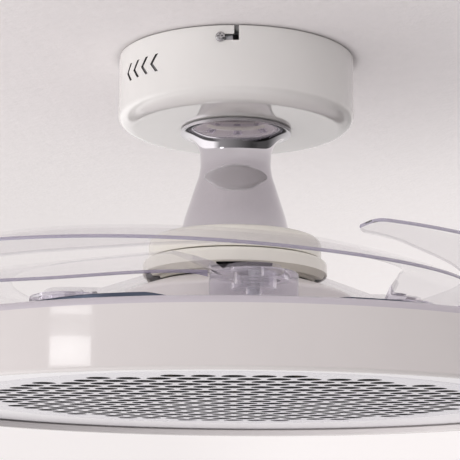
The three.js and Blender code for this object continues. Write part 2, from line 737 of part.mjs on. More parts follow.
function bladeSheet() {
  const cols = 4;
  const rows = 22;
  const position = [];
  const index = [];
  const ts = [];
  for (let i = 0; i <= rows; i++) ts.push(BLADE_START + (BLADE_SPAN - BLADE_START) * (1 - (1 - i / rows) ** 1.12));
  for (const side of [1, -1]) {
    for (const t of ts) {
      for (let j = 0; j <= cols; j++) {
        const s = j / cols;
        const p = bladePoint(t, s);
        const gusset = side < 0 ? 9 * (1 - smooth((t - 8) / 15)) * (1 - smooth(s * 1.6)) : 0;
        position.push(p.x, p.y, p.z + (side * BLADE_T) / 2 - gusset);
      }
    }
  }
  const wide = cols + 1;
  const layer = wide * (rows + 1);
  const quad = (a, b, c, d) => index.push(a, b, c, a, c, d);
  for (let i = 0; i < rows; i++) {
    for (let j = 0; j < cols; j++) {
      const a = i * wide + j;
      quad(a, a + 1, a + wide + 1, a + wide);
      quad(layer + a, layer + a + wide, layer + a + wide + 1, layer + a + 1);
    }
    const o = i * wide;
    const n = o + cols;
    quad(o, o + wide, layer + o + wide, layer + o);
    quad(n, layer + n, layer + n + wide, n + wide);
  }
  for (let j = 0; j < cols; j++) {
    const e = rows * wide + j;
    quad(j, layer + j, layer + j + 1, j + 1);
    quad(e, e + 1, layer + e + 1, layer + e);
  }
  return outward(position, index);
}

// The stop pin's groove: an arc about the pivot, as long as the swing.
function stopGroove() {
  const w = STOP_PIN_R + 0.8;
  const from = 180;
  const to = 180 - BLADE_SWING;
  const shape = new THREE.Shape();
  shape.absarc(0, 0, STOP_R + w, rad(from + 9), rad(to - 9), true);
  shape.absarc(0, 0, STOP_R - w, rad(to - 9), rad(from + 9), false);
  shape.closePath();
  const g = new THREE.ExtrudeGeometry(shape, { depth: STOP_DEPTH + 20, bevelEnabled: false, curveSegments: 9 });
  g.translate(pivotR, 0, bossTop - STOP_DEPTH);
  return g;
}

function blade() {
  const boss = rod(BOSS_R, bossLow, bossTop, 24, pivotR, 0);
  const pocketLow = bossTop - 1 - SPRING_PITCH * SPRING_CURLS - 2 * SPRING_WIRE_R - 0.5;
  return cut(join(boss, bladeSheet()),
    rod(BOLT_R + FIT, bossLow - 5, bossTop + 5, 12, pivotR, 0),
    rod(SPRING_POCKET_R, pocketLow, bossTop + 5, 16, pivotR, 0),
    stopGroove());
}

// ---------------------------------------------------------------- lamp
function lampDome() {
  const fall = (r) => domeTop - (r <= DOME_FLAT_R ? 0 : DOME_FALL * (r * r - DOME_FLAT_R * DOME_FLAT_R));
  const shoulder = fall(DOME_R - 3);
  const low = baseTop + FIT;
  const w = DOME_WALL;
  const crown = [DOME_FLAT_R, 68, DOME_R - 3];
  const outer = [[DOME_FLANGE_R, low], [DOME_R, low], [DOME_R, shoulder - 4],
    [DOME_R - 1, shoulder - 1.5], ...crown.map((r) => [r, fall(r)]).reverse(), [SHAFT_R + FIT, domeTop]];
  const inner = [[SHAFT_R + FIT, domeTop - w - 0.3], [DOME_FLAT_R, domeTop - w - 0.3], [72, fall(72) - w - 0.3],
    [DOME_R - 3.5, shoulder - w - 1], [DOME_R - w, shoulder - 5], [DOME_R - w, low + w],
    [DOME_FLANGE_R, low + w]];
  return revolve([...outer, ...inner], 28);
}

function drumShell() {
  const f = DRUM_TOP_FILLET;
  const g = DRUM_LOW_FILLET;
  const w = DRUM_WALL;
  const topIn = DRUM_R - DRUM_TOP_W;
  const lipIn = DRUM_R - DRUM_LIP_W;
  const profile = [
    [lipIn + 1.2, drumLow],
    ...arc(DRUM_R - g, drumLow + g, g, -90, 0, 2),
    ...arc(DRUM_R - f, drumTop - f, f, 0, 90, 3),
    [topIn, drumTop],
    [topIn, drumTop - w],
    [DRUM_R - f, drumTop - w],
    [DRUM_R - w, drumTop - f],
    [DRUM_R - w, drumLow + 4.9],
    [lipIn, drumLow + 4.9],
    [lipIn, drumLow + 1.2],
  ];
  return revolve(profile, 48);
}

function trimRing() {
  const outer = DRUM_R - DRUM_TOP_W - FIT;
  const inner = outer - TRIM_W;
  const top = drumTop + TRIM_PROUD;
  return revolve([[inner, baseTop + FIT], [outer, baseTop + FIT], [outer, top - 0.8], [outer - 0.8, top],
    [inner, top]], 48);
}

function lightRing() {
  const outer = DRUM_R - DRUM_LIP_W - 0.8;
  const top = baseLow - FIT;
  const ledge = faceZ + PLATE_T + FIT;
  const hold = RING_INNER_R - 5.5;
  return revolve([
    [RING_INNER_R, faceZ], [outer, faceZ], [outer, top], [outer - RING_T, top], [outer - RING_T, faceZ + RING_T],
    [RING_INNER_R + RING_T, faceZ + RING_T], [RING_INNER_R + RING_T, ledge + RING_T], [hold, ledge + RING_T],
    [hold, ledge], [RING_INNER_R, ledge],
  ], 48);
}

// A round plate with a hexagonal field of through holes.
function patternPlate() {
  const outer = RING_INNER_R - 0.5;
  const sides = 48;
  const rim = [];
  for (let i = 0; i < sides; i++) {
    const a = (2 * Math.PI * i) / sides;
    rim.push([outer * Math.cos(a), outer * Math.sin(a)]);
  }
  const outlines = [rim];
  const rowStep = HOLE_PITCH * Math.sin(Math.PI / 3);
  const reach = Math.ceil(HOLE_FIELD_R / rowStep) + 1;
  const h = HOLE_W / 2;
  for (let j = -reach; j <= reach; j++) {
    for (let i = -reach; i <= reach; i++) {
      const x = (i + (Math.abs(j) % 2) / 2) * HOLE_PITCH;
      const y = j * rowStep;
      if (Math.hypot(x, y) > HOLE_FIELD_R) continue;
      outlines.push([[x - h, y - h], [x + h, y - h], [x + h, y + h], [x - h, y + h]]);
    }
  }
  const plate = new wasm.CrossSection(outlines, 'EvenOdd').extrude(PLATE_T);
  return toGeometry(plate.translate([0, 0, faceZ]));
}

const lensLow = faceZ + PLATE_T + FIT;

function ledTray() {
  const top = baseLow - FIT;
  const w = 1.2;
  return revolve([[16, trayLow], [TRAY_R, trayLow], [TRAY_R, top], [TRAY_R - w, top], [TRAY_R - w, trayLow + w],
    [16, trayLow + w]], 20);
}

function slottedBox(x0, x1, y0, y1) {
  const top = baseLow - FIT;
  const body = block(x0, x1, y0, y1, trayLow + 1.2 + FIT, top);
  const feet = [block(x0 - 7, x1 + 7, (y0 + y1) / 2 - 8, (y0 + y1) / 2 + 8, top - 1.5, top)];
  return join(body, ...feet);
}

function lampNut() {
  const g = rod(12.5, baseLow - FIT - 1.2 - FIT - 6, baseLow - FIT - 1.2 - FIT, 6);
  return cut(g, rod(SHAFT_R + FIT, shaftLow - 5, baseLow, 20));
}

// ---------------------------------------------------------------- assembly
place('ceiling_bracket', ceilingBracket(), STEEL, SCREW_AZ);
place('wire_grommet', wireGrommet(), NYLON, SCREW_AZ);
place('terminal_block', terminalBlock(), WHITE, SCREW_AZ);
place('canopy_shell', canopyShell(), WHITE);
place('canopy_screw_1', canopyScrew(), STEEL, SCREW_AZ);
place('canopy_screw_2', canopyScrew(), STEEL, SCREW_AZ + 180);
place('hanger_ball', hangerBall(), NYLON, SCREW_AZ);
place('hanger_pin', pin(-BALL_DEPTH + 5, BALL_R - 3), STEEL, SCREW_AZ);
place('downrod', downrod(), STEEL, SCREW_AZ);
place('coupling_pin', pin(pinZ, rodR + 1.5), STEEL, SCREW_AZ);
place('neck_cover', neckCover(), CHROME);
place('motor_cover', motorCover(), WHITE, SCREW_AZ);
for (let i = 0; i < 3; i++) place(`cover_screw_${i + 1}`, coverScrew(), STEEL, SCREW_AZ + 120 * i);
place('motor_shaft', motorShaft(), STEEL, SCREW_AZ);
place('stator_core', statorCore(), STEEL);
place('stator_windings', statorWindings(), COPPER);
place('bearing_upper', ring(bearingBore, bearingR, topBearing - BEARING_H / 2, topBearing + BEARING_H / 2, 16), STEEL);
place('bearing_lower', ring(bearingBore, bearingR, lowBearing, lowBearing + BEARING_H, 16), STEEL);
place('rotor_cup', rotorCup(), BLACK);
place('rotor_lid', rotorLid(), STEEL);
place('magnet_ring', ring(coreR + AIR_GAP, coreR + AIR_GAP + MAGNET_T, coreLow - 2, coreTop + 2, 24), BLACK);
place('rotor_skirt', rotorSkirt(), WHITE);
place('blade_carrier', bladeCarrier(), CLEAR, PIVOT_AZ);
for (let i = 0; i < BLADES; i++) {
  const turn = PIVOT_AZ + (360 / BLADES) * i;
  place(`pivot_bolt_${i + 1}`, pivotBolt(), STEEL, turn);
  place(`pivot_washer_${i + 1}`, pivotWasher(), STEEL, turn);
  place(`return_spring_${i + 1}`, returnSpring(), STEEL, turn);
  place(`stop_pin_${i + 1}`, stopPin(), STEEL, turn);
  place(`blade_${i + 1}`, blade(), CLEAR, turn);
}
place('lamp_dome', lampDome(), WHITE);
place('lamp_sleeve', ring(SHAFT_R + FIT, SHAFT_R + FIT + SLEEVE_WALL, baseTop + FIT, domeTop - DOME_WALL - 0.3 - FIT, 16), STEEL);
place('lamp_base', ring(SHAFT_R + FIT, DRUM_R - DRUM_TOP_FILLET - FIT, baseLow, baseTop, 48), WHITE);
place('lamp_washer', ring(SHAFT_R + FIT, 14, baseLow - FIT - 1.2, baseLow - FIT, 16), STEEL);
place('lamp_nut', lampNut(), STEEL);
place('trim_ring', trimRing(), CHROME);
place('drum_shell', drumShell(), WHITE);
place('light_ring', lightRing(), WHITE);
place('pattern_plate', patternPlate(), WHITE);
place('lens_sheet', rod(RING_INNER_R - 5.9, lensLow, lensLow + LENS_T, 32), SMOKE);
place('led_board', ring(20, TRAY_R - 4, trayLow - FIT - 1.6, trayLow - FIT, 16), GREEN);
place('led_tray', ledTray(), WHITE);
place('led_driver', slottedBox(36, 76, -55, 55), WHITE, 30);
place('receiver_box', slottedBox(-70, -38, -45, 45), WHITE, 30);

export default fan;
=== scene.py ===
"""Retractable blade ceiling fan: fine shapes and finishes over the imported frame, with stage, lights and camera.

Shapes are written in millimetres, as the CAD has them, and objects are made in metres.
"""
import json
import math

import bmesh
import bpy
from mathutils import Matrix, Vector


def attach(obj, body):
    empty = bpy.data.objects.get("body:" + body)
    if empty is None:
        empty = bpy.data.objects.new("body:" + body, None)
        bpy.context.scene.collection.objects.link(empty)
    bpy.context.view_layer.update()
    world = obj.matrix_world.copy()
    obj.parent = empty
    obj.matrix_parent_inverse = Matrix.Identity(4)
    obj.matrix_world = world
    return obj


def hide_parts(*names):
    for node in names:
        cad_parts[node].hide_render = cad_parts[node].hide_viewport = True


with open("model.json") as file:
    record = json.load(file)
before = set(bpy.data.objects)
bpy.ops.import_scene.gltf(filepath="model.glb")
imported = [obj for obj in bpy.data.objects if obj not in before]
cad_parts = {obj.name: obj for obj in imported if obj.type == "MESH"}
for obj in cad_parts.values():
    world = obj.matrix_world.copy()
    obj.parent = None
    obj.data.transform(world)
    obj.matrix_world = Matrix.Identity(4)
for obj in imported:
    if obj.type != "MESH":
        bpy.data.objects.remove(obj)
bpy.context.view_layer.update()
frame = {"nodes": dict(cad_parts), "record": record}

MM = 0.001
TAU = 2 * math.pi
scene = bpy.context.scene
scene.view_settings.view_transform = "Standard"

# heights in millimetres, as the CAD has them, with the ceiling at 0
NECK_TOP, NECK_LOW = -52.3, -130.7
COVER_TOP, COVER_LOW = -131.0, -146.6
SKIRT_TOP, SKIRT_LOW = -147.6, -161.5
DOME_TOP = -163.5
PAD_LOW = -174.5
BOSS_TOP, BOSS_LOW = -175.0, -194.0
DRUM_TOP, DRUM_LOW = -209.8, -251.2
BASE_TOP, BASE_LOW = -212.1, -213.9
LED_BOARD_LOW = -233.1
FACE = -245.2

SEAT = 0.3  # the gap where one piece seats on another
SHAFT_HOLE_R = 7.8
DOWNROD_HOLE_R = 24
BLADES = 4
PIVOT_R, PIVOT_AZ, BOSS_R = 115.0, -84.0, 28.3
PIVOTS = [PIVOT_AZ + 360 / BLADES * k for k in range(BLADES)]
SCREW_AZ = -97.3
SHARP = 40  # edges that turn by more degrees than this stay crisp


# ---------------------------------------------------------------- camera
PHOTO_WIDTH = 460
FOCAL_PIXELS = 1631.29
SENSOR_WIDTH = 36


def photo_camera():
    """The photograph's view, solved from the fan's circles: a little below the drum, looking slightly up."""
    data = bpy.data.cameras.new("camera")
    data.sensor_width = SENSOR_WIDTH
    data.lens = SENSOR_WIDTH * FOCAL_PIXELS / PHOTO_WIDTH
    data.clip_end = 200
    cam = bpy.data.objects.new("camera", data)
    scene.collection.objects.link(cam)
    right = Vector((0.999968, 0.001654, 0.007818))
    up = Vector((-0.007338, -0.19705, 0.980366))
    back = Vector((0.003162, -0.980392, -0.197031))
    turn = Matrix((right, up, back)).transposed().to_4x4()
    cam.matrix_world = Matrix.Translation((0, -1.131738, -0.351554)) @ turn
    scene.camera = cam


# ---------------------------------------------------------------- shapes
FILLET_STEP = 15  # degrees of turn for each segment of a fillet
FILLET_SHARE = 0.49  # the most of an edge that a fillet at one end may take
MERGE = 1e-6  # points nearer than this, in metres, are one
BREAK_WIDTH, BREAK_ANGLE = 0.35, 35  # millimetres of rounding on edges that turn by more than these degrees
BOX_FACES = [(0, 3, 2, 1), (4, 5, 6, 7), (0, 1, 5, 4), (1, 2, 6, 5), (2, 3, 7, 6), (3, 0, 4, 7)]


def rounded(profile):
    """The points of a closed profile of (r, z) or (r, z, fillet) corners, with each fillet as an arc."""
    out = []
    n = len(profile)
    for i, corner in enumerate(profile):
        p = Vector(corner[:2])
        fillet = corner[2] if len(corner) > 2 else 0
        if not fillet:
            out.append(tuple(p))
            continue
        a = Vector(profile[i - 1][:2]) - p
        b = Vector(profile[(i + 1) % n][:2]) - p
        da, db = a.normalized(), b.normalized()
        half = da.angle(db) / 2
        back = min(fillet / math.tan(half), FILLET_SHARE * a.length, FILLET_SHARE * b.length)
        radius = back * math.tan(half)
        centre = p + (da + db).normalized() * radius / math.sin(half)
        start, end = p + da * back - centre, p + db * back - centre
        steps = max(2, round(math.degrees(math.pi - 2 * half) / FILLET_STEP))
        angle = start.angle_signed(end)
        for k in range(steps + 1):
            t = -angle * k / steps
            c, s = math.cos(t), math.sin(t)
            out.append((centre.x + start.x * c - start.y * s, centre.y + start.x * s + start.y * c))
    return out


def soften(ob, sharp=SHARP):
    """Merges doubled points, turns the faces outwards and shades them smooth but for the sharp edges."""
    bm = bmesh.new()
    bm.from_mesh(ob.data)
    bmesh.ops.remove_doubles(bm, verts=bm.verts, dist=MERGE)
    bmesh.ops.recalc_face_normals(bm, faces=bm.faces)
    for face in bm.faces:
        face.smooth = True
    for edge in bm.edges:
        edge.smooth = not (len(edge.link_faces) == 2 and edge.calc_face_angle(0) > math.radians(sharp))
    bm.to_mesh(ob.data)
    bm.free()


def object_from(name, verts, faces, sharp=SHARP):
    """A mesh in millimetres made into an object in metres, smooth but for its sharp edges."""
    mesh = bpy.data.meshes.new(name)
    mesh.from_pydata([Vector(v) * MM for v in verts], [], faces)
    ob = bpy.data.objects.new(name, mesh)
    scene.collection.objects.link(ob)
    soften(ob, sharp)
    return ob


def lathe(name, profile, segments, sharp=SHARP, centre=(0, 0)):
    """A closed profile of (r, z) corners turned about an upright axis."""
    points = rounded(profile)
    m = len(points)
    verts, faces = [], []
    for i in range(segments):
        a = TAU * i / segments
        verts += [(centre[0] + r * math.cos(a), centre[1] + r * math.sin(a), z) for r, z in points]
        j = (i + 1) % segments
        faces += [(i * m + k, j * m + k, j * m + (k + 1) % m, i * m + (k + 1) % m) for k in range(m)]
    return object_from(name, verts, faces, sharp)


def box(x, y, half_x, half_y, low, high):
    """The corners of an upright box; its faces are BOX_FACES."""
    return [(x + sx * half_x, y + sy * half_y, z)
            for z in (low, high) for sx, sy in ((-1, -1), (1, -1), (1, 1), (-1, 1))]


def tube_faces(rows, around):
    """The faces of a tube of rows + 1 rings of points, with a cap at each end."""
    faces = [(i * around + k, (i + 1) * around + k, (i + 1) * around + (k + 1) % around, i * around + (k + 1) % around)
             for i in range(rows) for k in range(around)]
    last = rows * around
    return faces + [tuple(range(around)), tuple(range(last + around - 1, last - 1, -1))]


def radial_prism(outline, azimuth, near, far):
    """An outline in (sideways, up) millimetres, pushed out along a radius: a cutter for a round wall."""
    a = math.radians(azimuth)
    out, side = Vector((math.cos(a), math.sin(a), 0)), Vector((-math.sin(a), math.cos(a), 0))
    n = len(outline)
    verts = [out * r + side * x + Vector((0, 0, z)) for r in (near, far) for x, z in outline]
    faces = [tuple(range(n)), tuple(range(2 * n - 1, n - 1, -1))]
    faces += [(k, n + k, n + (k + 1) % n, (k + 1) % n) for k in range(n)]
    return verts, faces


def apply_modifiers(ob):
    """Replaces an object's mesh by what its modifiers make of it."""
    made = bpy.data.meshes.new_from_object(ob.evaluated_get(bpy.context.evaluated_depsgraph_get()))
    ob.modifiers.clear()
    ob.data = made


def combine(ob, tool, operation, sharp):
    """Joins a tool to an object or cuts it out, and removes the tool."""
    mod = ob.modifiers.new("cut", "BOOLEAN")
    mod.operation = operation
    mod.solver = "EXACT"
    mod.use_self = operation == "UNION"
    mod.object = tool
    apply_modifiers(ob)
    bpy.data.objects.remove(tool)
    soften(ob, sharp)


def carve(ob, solids, sharp=SHARP):
    """Cuts a list of (verts, faces) solids from an object."""
    verts, faces = [], []
    for v, f in solids:
        faces += [tuple(i + len(verts) for i in face) for face in f]
        verts += list(v)
    combine(ob, object_from("cutter", verts, faces), "DIFFERENCE", sharp)


def detach(ob):
    """Keeps an object's mesh and removes the object."""
    mesh = ob.data
    bpy.data.objects.remove(ob)
    return mesh


def break_edges(ob):
    """Gives an object's sharp edges a narrow rounding."""
    mod = ob.modifiers.new("edge", "BEVEL")
    mod.width = BREAK_WIDTH * MM
    mod.segments = 2
    mod.limit_method = "ANGLE"
    mod.angle_limit = math.radians(BREAK_ANGLE)
    apply_modifiers(ob)
    for face in ob.data.polygons:
        face.use_smooth = True


def weigh_normals(ob):
    """Lets the large flat faces set the shading beside their rounded edges."""
    ob.modifiers.new("normals", "WEIGHTED_NORMAL").keep_sharp = True
    apply_modifiers(ob)


def settle(ob, material, body, node=None):
    """Gives a new piece its finish and body, and hides the CAD node that it stands for, if there is one."""
    weigh_normals(ob)
    ob.data.materials.clear()
    ob.data.materials.append(material)
    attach(ob, body)
    if node:
        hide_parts(node)
    return ob


def repaint(ob, material, chosen):
    """Gives the faces that chosen(face) picks a second finish."""
    ob.data.materials.append(material)
    for face in ob.data.polygons:
        face.material_index = int(chosen(face))


# ---------------------------------------------------------------- node trees
def plug(tree, value, socket):
    """Links an output to an input socket, or sets the socket to a plain value."""
    if isinstance(value, bpy.types.NodeSocket):
        tree.links.new(value, socket)
    else:
        socket.default_value = value


def add_noise(tree, vector, scale, detail):
    node = tree.nodes.new("ShaderNodeTexNoise")
    plug(tree, vector, node.inputs["Vector"])
    plug(tree, scale, node.inputs["Scale"])
    plug(tree, detail, node.inputs["Detail"])
    return node.outputs["Fac"]


def add_range(tree, value, from_low, from_high, to_low=0.0, to_high=1.0):
    node = tree.nodes.new("ShaderNodeMapRange")
    plug(tree, value, node.inputs["Value"])
    plug(tree, from_low, node.inputs["From Min"])
    plug(tree, from_high, node.inputs["From Max"])
    plug(tree, to_low, node.inputs["To Min"])
    plug(tree, to_high, node.inputs["To Max"])
    return node.outputs["Result"]


def add_math(tree, operation, a, b, clamp=False):
    node = tree.nodes.new("ShaderNodeMath")
    node.operation = operation
    node.use_clamp = clamp
    plug(tree, a, node.inputs[0])
    plug(tree, b, node.inputs[1])
    return node.outputs[0]


def add_mix(tree, factor, a, b):
    """A value between two others."""
    node = tree.nodes.new("ShaderNodeMix")
    plug(tree, factor, node.inputs["Factor"])
    plug(tree, a, node.inputs["A"])
    plug(tree, b, node.inputs["B"])
    return node.outputs["Result"]


def add_shader_mix(tree, factor, a, b):
    node = tree.nodes.new("ShaderNodeMixShader")
    plug(tree, factor, node.inputs[0])
    plug(tree, a, node.inputs[1])
    plug(tree, b, node.inputs[2])
    return node.outputs[0]


def add_place(tree, space):
    """The X, Y and Z of a point in a space of Texture Coordinate."""
    where = tree.nodes.new("ShaderNodeTexCoord")
    split = tree.nodes.new("ShaderNodeSeparateXYZ")
    plug(tree, where.outputs[space], split.inputs[0])
    return split.outputs


# ---------------------------------------------------------------- materials
def srgb(r, g, b):
    """A colour in sRGB levels of 255, as the linear colour that a shader takes."""
    return tuple((c / 255 / 12.92) if c < 10 else ((c / 255 + 0.055) / 1.055) ** 2.4 for c in (r, g, b)) + (1,)


DRIFT_STOPS = (0.3, 0.7)  # the noise levels at which a tint is darkest and lightest
DRIFT_DETAIL, BUMP_DETAIL = 4, 3
BUMP_DEPTH, PLASTER_DEPTH = 0.0002, 0.001  # metres


def finish(name, colour, rough, metal=0.0, grain=140, tint=0.03, rough_spread=0.06, bump=0.0, bump_grain=900,
           stretch=(1, 1, 1), **sockets):
    """A Principled surface whose colour and roughness drift with noise, and an optional fine bump."""
    mat = bpy.data.materials.new(name)
    mat.use_nodes = True
    tree = mat.node_tree
    shader = tree.nodes["Principled BSDF"]
    plug(tree, metal, shader.inputs["Metallic"])
    for key, value in sockets.items():
        plug(tree, value, shader.inputs[key.replace("_", " ")])
    where = tree.nodes.new("ShaderNodeTexCoord")
    squash = tree.nodes.new("ShaderNodeMapping")
    plug(tree, where.outputs["Object"], squash.inputs["Vector"])
    plug(tree, stretch, squash.inputs["Scale"])
    drift = add_noise(tree, squash.outputs["Vector"], grain, DRIFT_DETAIL)
    ramp = tree.nodes.new("ShaderNodeValToRGB")
    for stop, place, factor in zip(ramp.color_ramp.elements, DRIFT_STOPS, (1 - tint, 1 + tint)):
        stop.position = place
        stop.color = tuple(min(1, c * factor) for c in colour[:3]) + (1,)
    plug(tree, drift, ramp.inputs["Fac"])
    plug(tree, ramp.outputs["Color"], shader.inputs["Base Color"])
    spread = add_range(tree, drift, 0, 1, max(0.0, rough - rough_spread), rough + rough_spread)
    plug(tree, spread, shader.inputs["Roughness"])
    if bump:
        relief = tree.nodes.new("ShaderNodeBump")
        plug(tree, bump, relief.inputs["Strength"])
        plug(tree, BUMP_DEPTH, relief.inputs["Distance"])
        plug(tree, add_noise(tree, squash.outputs["Vector"], bump_grain, BUMP_DETAIL), relief.inputs["Height"])
        plug(tree, relief.outputs["Normal"], shader.inputs["Normal"])
    return mat


ENAMEL = finish("white_enamel", srgb(244, 243, 241), 0.09, grain=30, tint=0.012, rough_spread=0.02, bump=0.03,
                bump_grain=260, Coat_Weight=0.8, Coat_Roughness=0.02)
DRUM_ENAMEL = finish("drum_enamel", srgb(226, 221, 221), 0.10, grain=26, tint=0.012, rough_spread=0.03, bump=0.04,
                     bump_grain=220, Coat_Weight=0.6, Coat_Roughness=0.03)
# painted shade: a darker lilac for the top of the drum's rim, which turns away from the light
DRUM_RIM_SHADE = finish("drum_rim_painted_shade", srgb(206, 200, 209), 0.12, grain=26, tint=0.012, rough_spread=0.03, Coat_Weight=0.5)
MOTOR_ENAMEL = finish("motor_enamel", srgb(250, 248, 240), 0.22, grain=40, tint=0.015, bump=0.05, bump_grain=400)
SATIN = finish("satin_enamel", srgb(236, 232, 233), 0.3, grain=40, tint=0.015, bump=0.06, bump_grain=500)
OPAL = finish("opal_plastic", srgb(236, 233, 240), 0.28, grain=60, tint=0.01, bump=0.03, bump_grain=600)
RING = finish("opal_ring", srgb(252, 249, 254), 0.22, grain=30, tint=0.008, rough_spread=0.02)
CHROME = finish("polished_metal", srgb(206, 203, 208), 0.05, 1.0, grain=90, tint=0.01, rough_spread=0.02)
STEEL = finish("zinc_steel", srgb(176, 178, 182), 0.34, 1.0, grain=180, tint=0.06, rough_spread=0.1, bump=0.1)
BRIGHT = finish("bright_steel", srgb(190, 190, 192), 0.22, 1.0, grain=220, tint=0.05, rough_spread=0.08, bump=0.05)
# painted shade: a dark grey for the canopy's lining and the vents' sides, standing for the shade inside the white shell
INSIDE_PAINTED_SHADE = finish("canopy_inside_painted_shade", srgb(88, 86, 86), 0.6, grain=80, tint=0.08)
# painted reflection: the polished trim takes a dark blue-grey with broad light and dark swings, standing for the dark
# room it reflects
TRIM_PAINTED_REFLECTION = finish("trim_painted_reflection", srgb(80, 87, 102), 0.14, 1.0, grain=14, tint=0.5, rough_spread=0.05)
BLACK = finish("black_coat", srgb(26, 26, 28), 0.38, grain=400, tint=0.2, rough_spread=0.1, bump=0.25, bump_grain=1500)
CLEAR = finish("clear_sheet", srgb(214, 209, 219), 0.06, grain=12, tint=0.012, rough_spread=0.015, Alpha=0.11)
# painted shade: darker, more opaque lilac for the clear blades' lip and edge faces, standing for how clear edges darken
# seen edge-on
CLEAR_LIP_PAINTED_SHADE = finish("clear_lip_painted_shade", srgb(196, 191, 204), 0.08, grain=12, tint=0.02, rough_spread=0.02, Alpha=0.3)
CLEAR_EDGE_PAINTED_SHADE = finish("clear_edge_painted_shade", srgb(158, 152, 176), 0.08, grain=12, tint=0.02, rough_spread=0.02, Alpha=0.8)
CLEAR_BOSS = finish("clear_boss", (0.95, 0.93, 1.0, 1), 0.04, grain=12, tint=0.012, rough_spread=0.015,
                    Transmission_Weight=0.8, IOR=1.16)
CLEAR_ARM = finish("clear_arm", srgb(214, 209, 219), 0.1, grain=12, tint=0.02, rough_spread=0.02, Alpha=0.2)
# painted shade: a darker, warmer grey for the motor tiers' undersides, which are the white enamel in shadow
UNDERSIDE_SHADE = finish("skirt_underside_painted_shade", srgb(212, 208, 198), 0.4, grain=60, tint=0.02)
SMOKED = finish("smoked_lens", srgb(16, 15, 17), 0.6, grain=50, tint=0.08, Specular_IOR_Level=0.05, Alpha=0.9)
# painted glints: the chips glow weakly, standing for warm glints on them
CHIP_GLINT = finish("led_chip", srgb(250, 214, 150), 0.5, grain=200, tint=0.05,
              Emission_Color=srgb(255, 214, 150), Emission_Strength=2.0)
COPPER = finish("copper_wire", srgb(184, 112, 66), 0.35, 1.0, grain=300, tint=0.15, bump=0.5, bump_grain=60,
                stretch=(1, 1, 12))
NYLON = finish("black_nylon", srgb(30, 30, 32), 0.5, grain=200, tint=0.12, bump=0.15)
BOARD = finish("board_white", srgb(226, 226, 220), 0.5, grain=120, tint=0.04, bump=0.1)
MAGNET = finish("magnet_grey", srgb(58, 58, 62), 0.55, grain=240, tint=0.15, bump=0.2)

BY_SLOT = {
    "canopy_white": ENAMEL, "motor_white": MOTOR_ENAMEL, "lamp_white": SATIN, "drum_white": DRUM_ENAMEL,
    "diffuser_ring": OPAL, "diffuser_plate": OPAL, "smoked_lens": SMOKED, "neck_polished": CHROME,
    "trim_polished": CHROME, "zinc_steel": STEEL, "screw_steel": BRIGHT, "spring_steel": BRIGHT,
    "carrier_clear": CLEAR_ARM, "cup_black": BLACK, "magnet_black": MAGNET, "blade_clear": CLEAR, "copper_wire": COPPER,
    "nylon_black": NYLON, "board_white": BOARD, "box_white": SATIN,
}


def paint_frame():
    """Gives every CAD node the finish of its material slot."""
    slot_of = {row["node"]: row["material_slot"] for row in frame["record"]["subparts"]}
    for name, ob in frame["nodes"].items():
        for ms in ob.material_slots:
            ms.material = BY_SLOT[slot_of[name]]


def refine(node, body, material):
    """A copy of a CAD node with its edges broken, which stands for it."""
    source = frame["nodes"][node]
    ob = bpy.data.objects.new(node + "_fine", source.data.copy())
    scene.collection.objects.link(ob)
    bm = bmesh.new()
    bm.from_mesh(ob.data)
    bmesh.ops.remove_doubles(bm, verts=bm.verts, dist=MERGE)
    bmesh.ops.dissolve_limit(bm, angle_limit=math.radians(1), verts=bm.verts, edges=bm.edges)
    bm.to_mesh(ob.data)
    bm.free()
    break_edges(ob)
    return settle(ob, material, body, node)


# ---------------------------------------------------------------- canopy
CANOPY_R = 84.5
CUTTER_REACH = 5  # how far a cutter runs past the canopy's wall, to either side
VENT_TIP_Z, VENT_RISE, VENT_STROKE = -21, 6.2, 2.7
SCREW_Z = -8.8


def wall_cutter(outline, azimuth):
    return radial_prism(outline, azimuth, CANOPY_R - CUTTER_REACH, CANOPY_R + CUTTER_REACH)


def vent_cutters():
    """Chevron vents, four to a side, their tips towards lower azimuths."""
    tip_az, spacing, sweep = -134.3, 6.65, 3.4
    reach = math.radians(sweep) * CANOPY_R
    high, low = VENT_TIP_Z + VENT_RISE, VENT_TIP_Z - VENT_RISE
    outline = [(0, VENT_TIP_Z), (reach, high), (reach + VENT_STROKE, high), (VENT_STROKE, VENT_TIP_Z),
               (reach + VENT_STROKE, low), (reach, low)]
    return [wall_cutter(outline, tip_az - spacing * k + side) for k in range(4) for side in (0, 180)]


def slot_cutters():
    """The L-shaped bayonet slots: the screw enters by the upright leg and sits at the level leg's closed end."""
    end, entry, half_leg, low, high, bevel, above_rim = -2.3, 10.7, 1.6, -11, -6.6, 1.2, 4
    outline = [(end, low), (end + bevel, low), (entry + half_leg, low), (entry + half_leg, above_rim),
               (entry - half_leg, above_rim), (entry - half_leg, high), (end + bevel, high), (end, high - 1),
               (end, low + 1)]
    return [wall_cutter(outline, SCREW_AZ + side) for side in (0, 180)]


